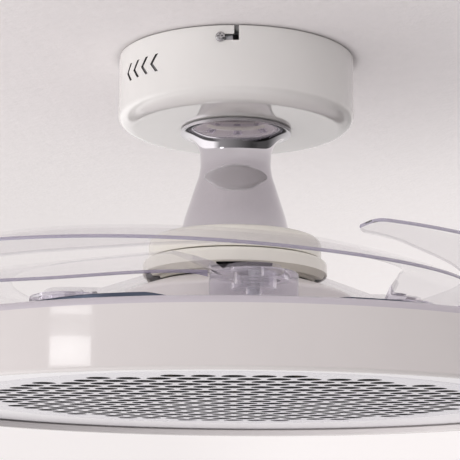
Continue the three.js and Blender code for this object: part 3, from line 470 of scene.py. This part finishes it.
def canopy():
    """The round shell, open at the ceiling, with an elliptic lower corner, vents and slots, and its lining and the
    vents' sides painted dark grey as shade.
    """
    r, wall, low, rim = CANOPY_R, 1.5, -51.5, -0.4
    corner_r, corner_h, steps = 12.5, 9.5, 12
    quarter = [math.pi / 2 * k / steps for k in range(steps + 1)]

    def elliptic_corner(thickness):
        return [(r - corner_r + (corner_r - thickness) * math.sin(a),
                 low + corner_h - (corner_h - thickness) * math.cos(a)) for a in quarter]

    ob = lathe("canopy", [(DOWNROD_HOLE_R, low, 0.4)] + elliptic_corner(0) + [(r, rim, 0.5), (r - wall, rim, 0.4)]
               + elliptic_corner(wall)[::-1] + [(DOWNROD_HOLE_R, low + wall, 0.4)], 192)
    carve(ob, vent_cutters() + slot_cutters())
    settle(ob, ENAMEL, "fan_body", "canopy_shell")

    def dark(face):
        """Where shade is painted: the vents' side faces and the lining, all that doesn't face outwards, and what faces
        in or up.
        """
        x, y, z = face.center / MM
        inward = -(x * face.normal.x + y * face.normal.y) / math.hypot(x, y)
        vent_side = abs(z - VENT_TIP_Z) < VENT_RISE + 2.8 and inward > -0.5
        lining = low + 1.2 < z < -1 and (inward > 0.5 or face.normal.z > 0.7)
        return vent_side or lining

    # the lining and the vents' sides take the painted shade
    repaint(ob, INSIDE_PAINTED_SHADE, dark)


def canopy_screw(name, node, azimuth):
    """A cross-headed screw that lies along a radius, its head against the canopy's wall."""
    shank_r, shank_end, head_r, head_h = 1.5, -14, 3.4, 2.4
    ob = lathe(name, [(0, shank_end), (shank_r, shank_end, 0.3), (shank_r, 0), (head_r, 0, 0.3),
                      (head_r - 0.1, 1.2, 0.8), (2.2, 2.2, 0.8), (0, head_h)], 40)
    cross_arm, cross_half, cross_floor, above = 2.0, 0.42, 1.0, 4.0
    for half_x, half_y in ((cross_arm, cross_half), (cross_half, cross_arm)):
        carve(ob, [(box(0, 0, half_x, half_y, cross_floor, above), BOX_FACES)])
    a = math.radians(azimuth)
    turn = Matrix.Rotation(a, 4, "Z") @ Matrix.Rotation(math.pi / 2, 4, "Y")
    place = Vector((math.cos(a), math.sin(a), 0)) * (CANOPY_R + SEAT) * MM + Vector((0, 0, SCREW_Z * MM))
    ob.data.transform(Matrix.Translation(place) @ turn)
    settle(ob, BRIGHT, "fan_body", node)


# ---------------------------------------------------------------- neck
def curve_through(table, x):
    """Smooth interpolation of (x, y) rows that doesn't overshoot."""
    xs, ys = [row[0] for row in table], [row[1] for row in table]
    n = len(xs)
    step = [(ys[i + 1] - ys[i]) / (xs[i + 1] - xs[i]) for i in range(n - 1)]
    slope = [step[0]] + [0 if step[i - 1] * step[i] <= 0 else 2 * step[i - 1] * step[i] / (step[i - 1] + step[i])
                         for i in range(1, n - 1)] + [step[-1]]
    i = max(0, min(n - 2, next((k for k in range(n - 1) if x <= xs[k + 1]), n - 2)))
    h = xs[i + 1] - xs[i]
    t = (x - xs[i]) / h
    return ((1 + 2 * t) * (1 - t) ** 2 * ys[i] + t * (1 - t) ** 2 * h * slope[i]
            + t * t * (3 - 2 * t) * ys[i + 1] + t * t * (t - 1) * h * slope[i + 1])


def neck():
    """The polished trumpet: a rim, a flare in to the waist, and a long swell down to the motor cover."""
    rim_r, rim_low, wall = 39.5, -54.6, 1.4
    flare_r, flare_in, flare_down, flare_steps = 39.3, 14.1, 18.5, 20
    waist, end, swell_steps = 73.1, -NECK_LOW, 36  # depths below the ceiling, as the swell's first column has them
    swell = [(waist, 25.2), (77, 25.1), (84.6, 26.0), (93.7, 28.8), (105.8, 32.6), (117.8, 36.3), (end, 39.0)]
    outer = [(rim_r, NECK_TOP, 0.3), (rim_r, rim_low, 0.3)]
    for k in range(1, flare_steps):
        a = math.pi / 2 * k / flare_steps
        outer.append((flare_r - flare_in * math.sin(a) ** 1.05, rim_low - flare_down * (1 - math.cos(a))))
    depths = [waist + (end - waist) * k / swell_steps for k in range(swell_steps + 1)]
    outer += [(curve_through(swell, depth), -depth) for depth in depths]
    inner = [(DOWNROD_HOLE_R, NECK_TOP), (DOWNROD_HOLE_R, -62)]
    inner += [(curve_through(swell, depth) - wall, -depth) for depth in (74, 80, 90, 100, 110, 120, end)]
    ob = lathe("neck", outer + inner[::-1], 160, 50)
    settle(ob, CHROME, "fan_body", "neck_cover")


# ---------------------------------------------------------------- motor
def motor_cover():
    """The upper tier, with a narrow floor along its foot."""
    top, low, outer_r, inner_r, floor_r, roof, floor = COVER_TOP, COVER_LOW, 60.8, 58.8, 54, 2, 1.5
    ob = lathe("cover", [(floor_r, low), (outer_r, low, 0.4), (outer_r, top, 6), (SHAFT_HOLE_R, top),
                         (SHAFT_HOLE_R, top - roof), (inner_r, top - roof, 4), (inner_r, low + floor),
                         (floor_r, low + floor)], 160)
    settle(ob, MOTOR_ENAMEL, "fan_body", "motor_cover")
    # the floor along the cover's foot takes the painted shade
    repaint(ob, UNDERSIDE_SHADE, lambda face: face.center.z < (low + 0.1) * MM)


def rotor_skirt():
    """The lower tier, with a bevelled foot, an inner lip that hangs lower, and a notch for each blade's arm."""
    top, low, outer_r, inner_r, lip_r, lip_low = SKIRT_TOP, SKIRT_LOW, 64.8, 62.8, 54.6, -163.1
    ob = lathe("skirt", [(lip_r, lip_low, 0.2), (lip_r + 2, lip_low, 0.3), (57.4, low, 0.3), (61.9, low, 0.3),
                         (outer_r, low + 4.5, 0.3), (outer_r, top, 3.2), (53.2, top), (53.2, top - 2),
                         (inner_r, top - 2, 1.5), (inner_r, low + 2, 2.4), (lip_r, low + 2)], 160)
    half, notch_top, below = 19, -158, low - 5
    outline = [(-half, below), (half, below), (half, notch_top), (-half, notch_top)]
    carve(ob, [radial_prism(outline, azimuth, 50, 70) for azimuth in PIVOTS])
    settle(ob, MOTOR_ENAMEL, "rotor", "rotor_skirt")
    # the bevelled foot and the lip below it take the painted shade
    repaint(ob, UNDERSIDE_SHADE, lambda face: face.center.z < (low + 4.2) * MM)


# ---------------------------------------------------------------- lamp
# the trim ring's lopsided bows: azimuth of the crest, degrees to either side of it, and height
TRIM_BOWS = ((-104, 20.5, 6.6, 1.0), (-73, 5.0, 15.0, 0.5))


def ease(t):
    t = max(0.0, min(1.0, t))
    return t * t * (3 - 2 * t)


def trim_rise(azimuth):
    """How far the sprung trim ring stands up at an azimuth: two lopsided bows a side, nearly flush between."""
    height = 0.0
    for side in (0, 180):
        for crest, before, after, tall in TRIM_BOWS:
            off = (azimuth - crest - side + 180) % 360 - 180
            height = max(height, tall * ease(1.3 * (1 - (off / after if off > 0 else -off / before))))
    return height


def lamp_dome():
    """The lamp's white top cover: flat under the motor, falling away on a parabola, then an upright wall."""
    low, wall, outer_r, inner_r, foot_r = BASE_TOP + SEAT, 1.8, 84, 82.5, 74
    fall = [(r, -155.7 - 0.00265 * r * r) for r in (78, 74, 70, 66, 62, 58, 54)]
    outer = [(foot_r, low), (outer_r, low, 0.3), (outer_r, -174.9, 2.5), (81, -173.1, 2)] + fall
    inner = [(SHAFT_HOLE_R, DOME_TOP), (SHAFT_HOLE_R, DOME_TOP - wall), (54, DOME_TOP - wall), (72, -171.2),
             (80.5, -175.6), (inner_r, -178), (inner_r, low + 1.5), (foot_r, low + 1.5)]
    settle(lathe("dome", outer + inner, 160, 30), SATIN, "fan_body", "lamp_dome")


def drum_shell():
    """The wide drum's wall with its rounded rim, whose top is painted a darker lilac as shade, and its foot."""
    outer_r, inner_r, mouth_r, foot_r = 250, 248, 240.5, 244
    under_rim, over_foot = DRUM_TOP - 2, DRUM_LOW + 4.9
    ob = lathe("drum", [(foot_r, DRUM_LOW, 1.2), (outer_r, DRUM_LOW, 2.3), (outer_r, DRUM_TOP, 7),
                        (mouth_r, DRUM_TOP, 0.4), (mouth_r, under_rim, 0.4), (inner_r, under_rim, 5),
                        (inner_r, over_foot, 0.3), (foot_r, over_foot, 0.3)], 288)
    settle(ob, DRUM_ENAMEL, "fan_body", "drum_shell")
    # the rim's top takes the painted shade
    repaint(ob, DRUM_RIM_SHADE, lambda face: face.center.z > (DRUM_TOP - 6) * MM)


def trim_ring():
    """The polished ring in the drum's mouth: its top edge drops by up to 3 mm wherever it doesn't bow up."""
    inner_r, outer_r, low, top, drop = 236, 240.2, BASE_TOP + SEAT, -206.6, 3.0
    ob = lathe("trim", [(inner_r, low, 0.2), (outer_r, low, 0.2), (outer_r, top, 0.5), (inner_r, top, 0.5)], 360)
    for vertex in ob.data.vertices:
        x, y, z = vertex.co / MM
        if z > -208:
            vertex.co.z -= drop * (1 - trim_rise(math.degrees(math.atan2(y, x)))) * MM
    # the dark blue-grey finish is a painted reflection of a dark room in the chrome
    settle(ob, TRIM_PAINTED_REFLECTION, "fan_body", "trim_ring")


def light_ring():
    """The flat white ring of the lamp's face, with an inner ledge over the patterned plate."""
    outer_r, inner_r, ledge_r, wall = 243.2, 186.5, 181, 2
    top, ledge = BASE_LOW - SEAT, FACE + wall + SEAT
    ob = lathe("ring", [(inner_r, FACE, 0.5), (outer_r, FACE, 0.8), (outer_r, top), (outer_r - wall, top),
                        (outer_r - wall, FACE + wall), (inner_r + wall, FACE + wall), (inner_r + wall, ledge + wall),
                        (ledge_r, ledge + wall), (ledge_r, ledge), (inner_r, ledge)], 240)
    settle(ob, RING, "fan_body", "light_ring")


def led_chips():
    """Rings of small square chips under the LED board, which glow weakly as painted glints."""
    half, height = 1.5, 1.0
    verts, faces = [], []
    for radius, count in ((60, 16), (100, 26), (140, 36), (165, 42)):
        for k in range(count):
            a = TAU * k / count
            faces += [tuple(len(verts) + i for i in face) for face in BOX_FACES]
            verts += box(radius * math.cos(a), radius * math.sin(a), half, half, LED_BOARD_LOW, LED_BOARD_LOW + height)
    settle(object_from("led_chips", verts, faces, 30), CHIP_GLINT, "fan_body")


def lattice():
    """The plate's hole centres, in staggered rows, out to a round limit."""
    pitch, row_pitch, reach, rows = 18.3, 15.85, 165, 12
    spots = []
    for row in range(-rows, rows + 1):
        for col in range(-rows, rows + 1):
            x = pitch * (col + (0.5 if row % 2 else 0))
            y = row_pitch * row
            if math.hypot(x, y) <= reach:
                spots.append((x, y))
    return spots


def circle_spline(curve, radius, points, centre=(0, 0)):
    spline = curve.splines.new("POLY")
    spline.points.add(points - 1)
    for k, point in enumerate(spline.points):
        a = TAU * k / points
        point.co = ((centre[0] + radius * math.cos(a)) * MM, (centre[1] + radius * math.sin(a)) * MM, 0, 1)
    spline.use_cyclic_u = True


def face_plate():
    """The patterned plate: a thin disc with round holes, its edges bevelled, standing on the face's level."""
    plate_r, hole_r = 186, 7.7
    flat, edge = 0.15, 0.05  # half the thickness between the bevels, and the bevel
    curve = bpy.data.curves.new("plate", "CURVE")
    curve.dimensions = "2D"
    curve.fill_mode = "BOTH"
    curve.extrude = flat * MM
    curve.bevel_depth = edge * MM
    curve.bevel_resolution = 0
    curve.offset = -edge * MM
    circle_spline(curve, plate_r, 160)
    for spot in lattice():
        circle_spline(curve, hole_r, 20, spot)
    source = bpy.data.objects.new("plate_outline", curve)
    scene.collection.objects.link(source)
    mesh = bpy.data.meshes.new_from_object(source.evaluated_get(bpy.context.evaluated_depsgraph_get()))
    bpy.data.objects.remove(source)
    mesh.transform(Matrix.Translation((0, 0, (FACE + flat + edge) * MM)))
    ob = bpy.data.objects.new("plate", mesh)
    scene.collection.objects.link(ob)
    soften(ob, 50)
    settle(ob, OPAL, "fan_body", "pattern_plate")


# ---------------------------------------------------------------- blades
# radii of the sheet's two edges, their heights over the boss's top and the crown between them, at even
# stations from the pivot to the tip
OUTER_EDGE = [142, 168, 194, 221, 236, 242, 245, 244.5, 238]
INNER_EDGE = [100, 114, 134, 147, 153, 159, 166, 180, 214]
OUTER_RISE = [-4.5, -7.5, -11.4, -10, -6.8, -1.8, 2.5, 7, 13.2]
INNER_RISE = [16, 15, 11, 10.4, 11.9, 11.3, 10.2, 11.3, 10.4]
CROWN = [0, 1, 1.5, 3.5, 6.5, 8, 9, 6, 0.5]
SPAN = 167.0  # degrees from the pivot to the tip
TIP = 2.5  # degrees over which the tip is rounded
TIP_RAKE = 0.8
# the edge and lip faces carry painted shade of the clear sheet's edges
SHEET, EDGE_SHADE, ROOT, LIP_SHADE = range(4)  # the finishes of a blade's faces, in the order of its materials


def station(values, u):
    """A smooth curve through evenly spaced values, at u from 0 to 1."""
    n = len(values) - 1
    k = min(int(u * n), n - 1)
    f = u * n - k

    def at(i):
        return values[max(0, min(n, i))]

    slope_0, slope_1 = (at(k + 1) - at(k - 1)) / 2, (at(k + 2) - at(k)) / 2
    return ((2 * f ** 3 - 3 * f * f + 1) * at(k) + (f ** 3 - 2 * f * f + f) * slope_0
            + (3 * f * f - 2 * f ** 3) * at(k + 1) + (f ** 3 - f * f) * slope_1)


def blade_point(t, s):
    """The blade's middle surface: t degrees behind the pivot, s from the outer edge to the inner."""
    u = t / SPAN
    outer_z = BOSS_TOP + station(OUTER_RISE, u)
    climb = min(1, max(0, (t - 5) / 21))  # the inner edge rises out of the boss between 5 and 26 degrees
    inner_z = BOSS_TOP - 6 * (1 - climb) + station(INNER_RISE, u) * climb
    past = max(0.0, (t - SPAN + TIP) / TIP)  # 0 where the tip's rounding starts, 1 at its end
    narrow = 1 - (1 - math.sqrt(1 - 0.84 * past * past)) * 0.9
    c = 0.5 + (s - 0.5) * narrow
    r = station(OUTER_EDGE, u) * (1 - c) + station(INNER_EDGE, u) * c
    z = outer_z * (1 - c) + inner_z * c + 4 * station(CROWN, u) * c * (1 - c)
    a = -math.radians(t - TIP_RAKE * past * (1 - s))
    return Vector((r * math.cos(a), r * math.sin(a), z))


def blade_sheet():
    """The blade's sheet, thickened by a gusset at the root's outer side and a lip at its inner edge."""
    rows, cols, thick = 150, 18, 2.1
    gusset_depth, gusset_from, gusset_span = 7, 4, 13
    lip_height, lip_at = 5.5, 13
    bulge, inset = 0.35, 0.9  # how many thicknesses an edge bulges, and how much of that the faces draw back
    start, crowding = 2, 1.15  # degrees behind the pivot, and how much closer the rows lie at the tip
    sections = []
    for i in range(rows + 1):
        t = start + (SPAN - start) * (1 - (1 - i / rows) ** crowding)
        line = [blade_point(t, j / cols) for j in range(cols + 1)]
        gusset = [gusset_depth * (1 - ease((t - gusset_from) / gusset_span)) * (1 - ease(2 * j / cols))
                  for j in range(cols + 1)]
        top = [p + Vector((0, 0, thick / 2)) for p in line]
        low = [p - Vector((0, 0, thick / 2 + g)) for p, g in zip(line, gusset)]
        across = (line[0] - line[1]).normalized() * thick * bulge
        back = (line[-1] - line[-2]).normalized() * thick * bulge
        top[-1] = top[-1] + Vector((0, 0, lip_height * max(0, 1 - abs(t - lip_at) / lip_at)))
        for edge in (top, low):
            edge[0] = edge[0] - across * inset
            edge[-1] = edge[-1] - back * inset
        sections.append(top + [line[-1]] + low[::-1] + [(top[0] + low[0]) / 2 + across])
    verts = [p for section in sections for p in section]
    return object_from("blade_sheet", verts, tube_faces(rows, len(sections[0])), 60)


def stop_groove(low, high):
    """The groove that the stop pin runs in, an arc about the pivot, as a cutter."""
    inner_r, outer_r, first, sweep, steps = 14.4, 19.6, 11, 178, 48
    angles = [math.radians(first + sweep * k / steps) for k in range(steps + 1)]
    ring = [(PIVOT_R + outer_r * math.cos(a), outer_r * math.sin(a)) for a in angles]
    ring += [(PIVOT_R + inner_r * math.cos(a), inner_r * math.sin(a)) for a in angles[::-1]]
    n = len(ring)
    verts = [(x, y, z) for z in (low, high) for x, y in ring]
    faces = [(k, k + 1, n - 2 - k, n - 1 - k) for k in range(n // 2 - 1)]
    faces += [tuple(n + i for i in face[::-1]) for face in faces]
    faces += [(k, n + k, n + (k + 1) % n, (k + 1) % n) for k in range(n)]
    return verts, faces


def blade_part(x, y, level):
    """Which finish a blade's face takes, by the place of its centre and how level it lies; the outer edge, the tip and
    the steep faces take painted edge shade.
    """
    t = (-math.degrees(math.atan2(y, x))) % 360
    ahead_of_pivot = t > SPAN + 2
    if math.hypot(x - PIVOT_R, y) < BOSS_R + 0.4 or ahead_of_pivot:
        return ROOT
    inside = LIP_SHADE if level < 0.5 else SHEET
    if t < 12:
        return inside
    u = min(1, t / SPAN)
    r, rim = math.hypot(x, y), station(OUTER_EDGE, u)
    outer_edge = r > rim - 0.9
    tip_corner = t > SPAN - 4 and level < 0.6 and r > (rim + station(INNER_EDGE, u)) / 2
    tip_end = t > SPAN - 0.8 and level < 0.5
    return EDGE_SHADE if outer_edge or tip_corner or tip_end else inside


def blade_mesh():
    """One moulded blade with its pivot at (PIVOT_R, 0): the sheet joined to its bored and grooved boss."""
    pivot, above, below = (PIVOT_R, 0), BOSS_TOP + 20, BOSS_LOW - 3
    bore_r, pocket_r, floor = 4.2, 12.6, BOSS_TOP - 10.9
    boss = lathe("boss", [(0, BOSS_LOW), (BOSS_R, BOSS_LOW, 0.8), (BOSS_R, BOSS_TOP, 1.6), (0, BOSS_TOP)],
                 96, SHARP, pivot)
    combine(boss, blade_sheet(), "UNION", 50)
    pocket = lathe("pocket", [(0, below), (bore_r, below), (bore_r, floor), (pocket_r, floor, 0.8),
                              (pocket_r, above), (0, above)], 64, SHARP, pivot)
    combine(boss, pocket, "DIFFERENCE", 50)
    carve(boss, [stop_groove(BOSS_TOP - 5, above)], 50)
    mesh = detach(boss)
    kind = mesh.attributes.new("kind", "INT", "FACE")
    for face in mesh.polygons:
        x, y = face.center.x / MM, face.center.y / MM
        kind.data[face.index].value = blade_part(x, y, abs(face.normal.z))
    return mesh


def coil_mesh():
    """The return spring's wire, wound about the pivot at (PIVOT_R, 0)."""
    turns, radius, wire, pitch = 4, 9.4, 0.7, 2.0
    steps, sides = 40 * turns, 12
    top = BOSS_TOP - 1 - wire
    verts = []
    for i in range(steps + 1):
        u = i / steps
        a = TAU * turns * u
        out = Vector((math.cos(a), math.sin(a), 0))
        along = Vector((-math.sin(a), math.cos(a), -pitch / (TAU * radius))).normalized()
        up = along.cross(out)
        p = out * radius + Vector((PIVOT_R, 0, top - pitch * turns * u))
        for k in range(sides):
            b = TAU * k / sides
            verts.append(p + out * wire * math.cos(b) + up * wire * math.sin(b))
    return detach(object_from("coil", verts, tube_faces(steps, sides), 60))


def bolt_mesh():
    """The pivot bolt at (PIVOT_R, 0): its head under the boss, its shank up into the carrier's pad."""
    shank_r, shank_top, head_top = 3.9, PAD_LOW + 1.2, BOSS_LOW - SEAT
    return detach(lathe("bolt", [(0, head_top - 3), (6, head_top - 3, 0.4), (7, head_top - 2, 0.5),
                                 (7, head_top - 1.5, 0.2), (shank_r, head_top - 1.5, 0.2),
                                 (shank_r, shank_top, 0.5), (0, shank_top)], 48, SHARP, (PIVOT_R, 0)))


def washer_mesh():
    inner_r, outer_r, top, thick = 4.2, 9, BOSS_LOW - SEAT, 1.2
    return detach(lathe("washer", [(inner_r, top - thick, 0.1), (outer_r, top - thick, 0.3), (outer_r, top, 0.3),
                                   (inner_r, top, 0.1)], 48, SHARP, (PIVOT_R, 0)))


def blade_sets():
    """The blades, each with its return spring, pivot bolt and washer."""
    made = {"blade": (blade_mesh(), CLEAR, "blade_clear"), "return_spring": (coil_mesh(), BRIGHT, "spring_steel"),
            "pivot_bolt": (bolt_mesh(), STEEL, "zinc_steel"), "pivot_washer": (washer_mesh(), STEEL, "zinc_steel")}
    for number, azimuth in enumerate(PIVOTS, 1):
        turn = Matrix.Rotation(math.radians(azimuth), 4, "Z")
        for kind, (mesh, material, slot) in made.items():
            ob = bpy.data.objects.new(f"{kind}_{number}_fine", mesh.copy())
            ob.data.transform(turn)
            scene.collection.objects.link(ob)
            body = f"blade_{number}" if kind in ("blade", "return_spring") else "rotor"
            settle(ob, material, body, f"{kind}_{number}")
            if kind == "blade":
                # the edge and lip finishes carry the painted edge shade
                for other in (CLEAR_EDGE_PAINTED_SHADE, CLEAR_BOSS, CLEAR_LIP_PAINTED_SHADE):
                    ob.data.materials.append(other)
                for face, value in zip(ob.data.polygons, ob.data.attributes["kind"].data):
                    face.material_index = value.value


def carrier():
    """The carrier's black hub, which shows in the skirt's notches, and its clear arms."""
    hub_r = 51.5
    ob = refine("blade_carrier", "rotor", CLEAR_ARM)
    bm = bmesh.new()
    bm.from_mesh(ob.data)
    for azimuth in PIVOTS:
        a = math.radians(azimuth)
        out = Vector((math.cos(a), math.sin(a), 0))
        bmesh.ops.bisect_plane(bm, geom=bm.verts[:] + bm.edges[:] + bm.faces[:], plane_co=out * hub_r * MM,
                               plane_no=out)
    bm.to_mesh(ob.data)
    bm.free()
    repaint(ob, BLACK, lambda face: math.hypot(face.center.x, face.center.y) < (hub_r + 0.5) * MM)


# ---------------------------------------------------------------- stage, world and lights
def ceiling():
    """A rough plaster ceiling, seen only from below, which pales with distance as a lit room's does."""
    half_width, near, far = 7.0 / MM, -3.0 / MM, 9.0 / MM
    z = 0.2
    ob = object_from("ceiling", [(-half_width, near, z), (half_width, near, z), (half_width, far, z),
                                 (-half_width, far, z)], [(0, 3, 2, 1)])
    if ob.data.polygons[0].normal.z > 0:
        ob.data.flip_normals()
    mat = finish("plaster", srgb(224, 220, 220), 0.8, grain=60, tint=0.015, bump=0.6, bump_grain=160)
    tree = mat.node_tree
    nodes = tree.nodes
    plug(tree, PLASTER_DEPTH, nodes["Bump"].inputs["Distance"])

    # a weak painted glow that grows with distance and to the right, and a painted contact shadow that dims it beside
    # the canopy's rim
    place = add_place(tree, "Object")
    depth = add_range(tree, place["Y"], 0.0, 2.6, 0.16, 0.3)
    across = add_range(tree, place["X"], -0.2, 0.2, -0.02, 0.06)
    # painted contact shadow: ambient occlusion dims the glow next to the canopy
    corner = nodes.new("ShaderNodeAmbientOcclusion")
    corner.samples = 8
    plug(tree, 0.007, corner.inputs["Distance"])
    shade = add_range(tree, corner.outputs["AO"], 0.5, 0.95)
    glow = nodes.new("ShaderNodeEmission")
    plug(tree, srgb(250, 245, 246), glow.inputs["Color"])
    plug(tree, add_math(tree, "MULTIPLY", add_math(tree, "ADD", depth, across), shade), glow.inputs["Strength"])
    lit = nodes.new("ShaderNodeAddShader")
    plug(tree, nodes["Principled BSDF"].outputs[0], lit.inputs[0])
    plug(tree, glow.outputs[0], lit.inputs[1])

    clear = nodes.new("ShaderNodeBsdfTransparent")
    side = nodes.new("ShaderNodeNewGeometry").outputs["Backfacing"]
    surface = add_shader_mix(tree, side, lit.outputs[0], clear.outputs[0])
    plug(tree, surface, nodes["Material Output"].inputs["Surface"])
    ob.data.materials.append(mat)


def room():
    """The room's light, stronger from the left, with dark bands that only reflections show."""
    world = bpy.data.worlds.new("room")
    scene.world = world
    world.use_nodes = True
    tree = world.node_tree
    nodes = tree.nodes
    place = add_place(tree, "Generated")
    height = add_range(tree, place["Z"], -1.0, 1.0)

    def dark_band(*stops):
        """A ramp over height, from nadir at 0 to zenith at 1, that is white but for what the stops darken."""
        ramp = nodes.new("ShaderNodeValToRGB")
        ramp.color_ramp.elements[0].color = (1, 1, 1, 1)
        for at, value in stops:
            ramp.color_ramp.elements.new(at).color = (value, value, value, 1)
        plug(tree, height, ramp.inputs["Fac"])
        return ramp.outputs["Color"]

    # metal and gloss see a narrow dark band all round, and a dark end of the room in front
    around = dark_band((0.24, 1.0), (0.265, 0.08), (0.325, 0.08), (0.345, 1.0))
    ahead = dark_band((0.19, 1.0), (0.22, 0.28), (0.53, 0.28), (0.552, 1.0))
    dark = add_mix(tree, add_range(tree, place["Y"], -0.25, -0.6), around, ahead)
    path = nodes.new("ShaderNodeLightPath").outputs
    reflected = add_math(tree, "SUBTRACT", path["Is Glossy Ray"], path["Is Transmission Ray"], clamp=True)
    side = add_range(tree, place["X"], -0.9, 0.9, 1.58, 0.1)
    light = nodes["Background"]
    plug(tree, (1.0, 0.975, 0.965, 1), light.inputs["Color"])
    plug(tree, add_math(tree, "MULTIPLY", side, add_mix(tree, reflected, 1.0, dark)), light.inputs["Strength"])

    seen = nodes.new("ShaderNodeBackground")
    plug(tree, (0.92, 0.885, 0.91, 1), seen.inputs["Color"])
    plug(tree, 1.0, seen.inputs["Strength"])
    surface = add_shader_mix(tree, path["Is Camera Ray"], light.outputs[0], seen.outputs[0])
    plug(tree, surface, nodes["World Output"].inputs["Surface"])


def key_light(name, low, high, power):
    """A panel of the key light, front left of the drum, between two elevations in degrees seen from its target."""
    target, azimuth, distance, half_width, spread = Vector((-0.09, -0.233, -0.23)), -138.6, 1.35, 7.0, 70
    a, e = math.radians(azimuth), math.radians((low + high) / 2)
    away = Vector((math.cos(a) * math.cos(e), math.sin(a) * math.cos(e), math.sin(e)))
    data = bpy.data.lights.new(name, "AREA")
    data.shape = "RECTANGLE"
    data.size = 2 * distance * math.tan(math.radians(half_width))
    data.size_y = distance * (math.tan(math.radians(high)) - math.tan(math.radians(low)))
    data.energy = power
    data.spread = math.radians(spread)
    ob = bpy.data.objects.new(name, data)
    scene.collection.objects.link(ob)
    ob.location = target + away * distance
    ob.rotation_mode = "QUATERNION"
    ob.rotation_quaternion = away.to_track_quat("Z", "Y")


photo_camera()
paint_frame()
canopy()
canopy_screw("canopy_screw_front", "canopy_screw_1", SCREW_AZ)
canopy_screw("canopy_screw_rear", "canopy_screw_2", SCREW_AZ + 180)
neck()
motor_cover()
rotor_skirt()
lamp_dome()
drum_shell()
trim_ring()
light_ring()
led_chips()
face_plate()
blade_sets()
carrier()
refine("ceiling_bracket", "fan_body", STEEL)
ceiling()
room()
key_light("key", 5.6, 7.6, 0.034)
key_light("key_top", 9.3, 14.8, 0.088)
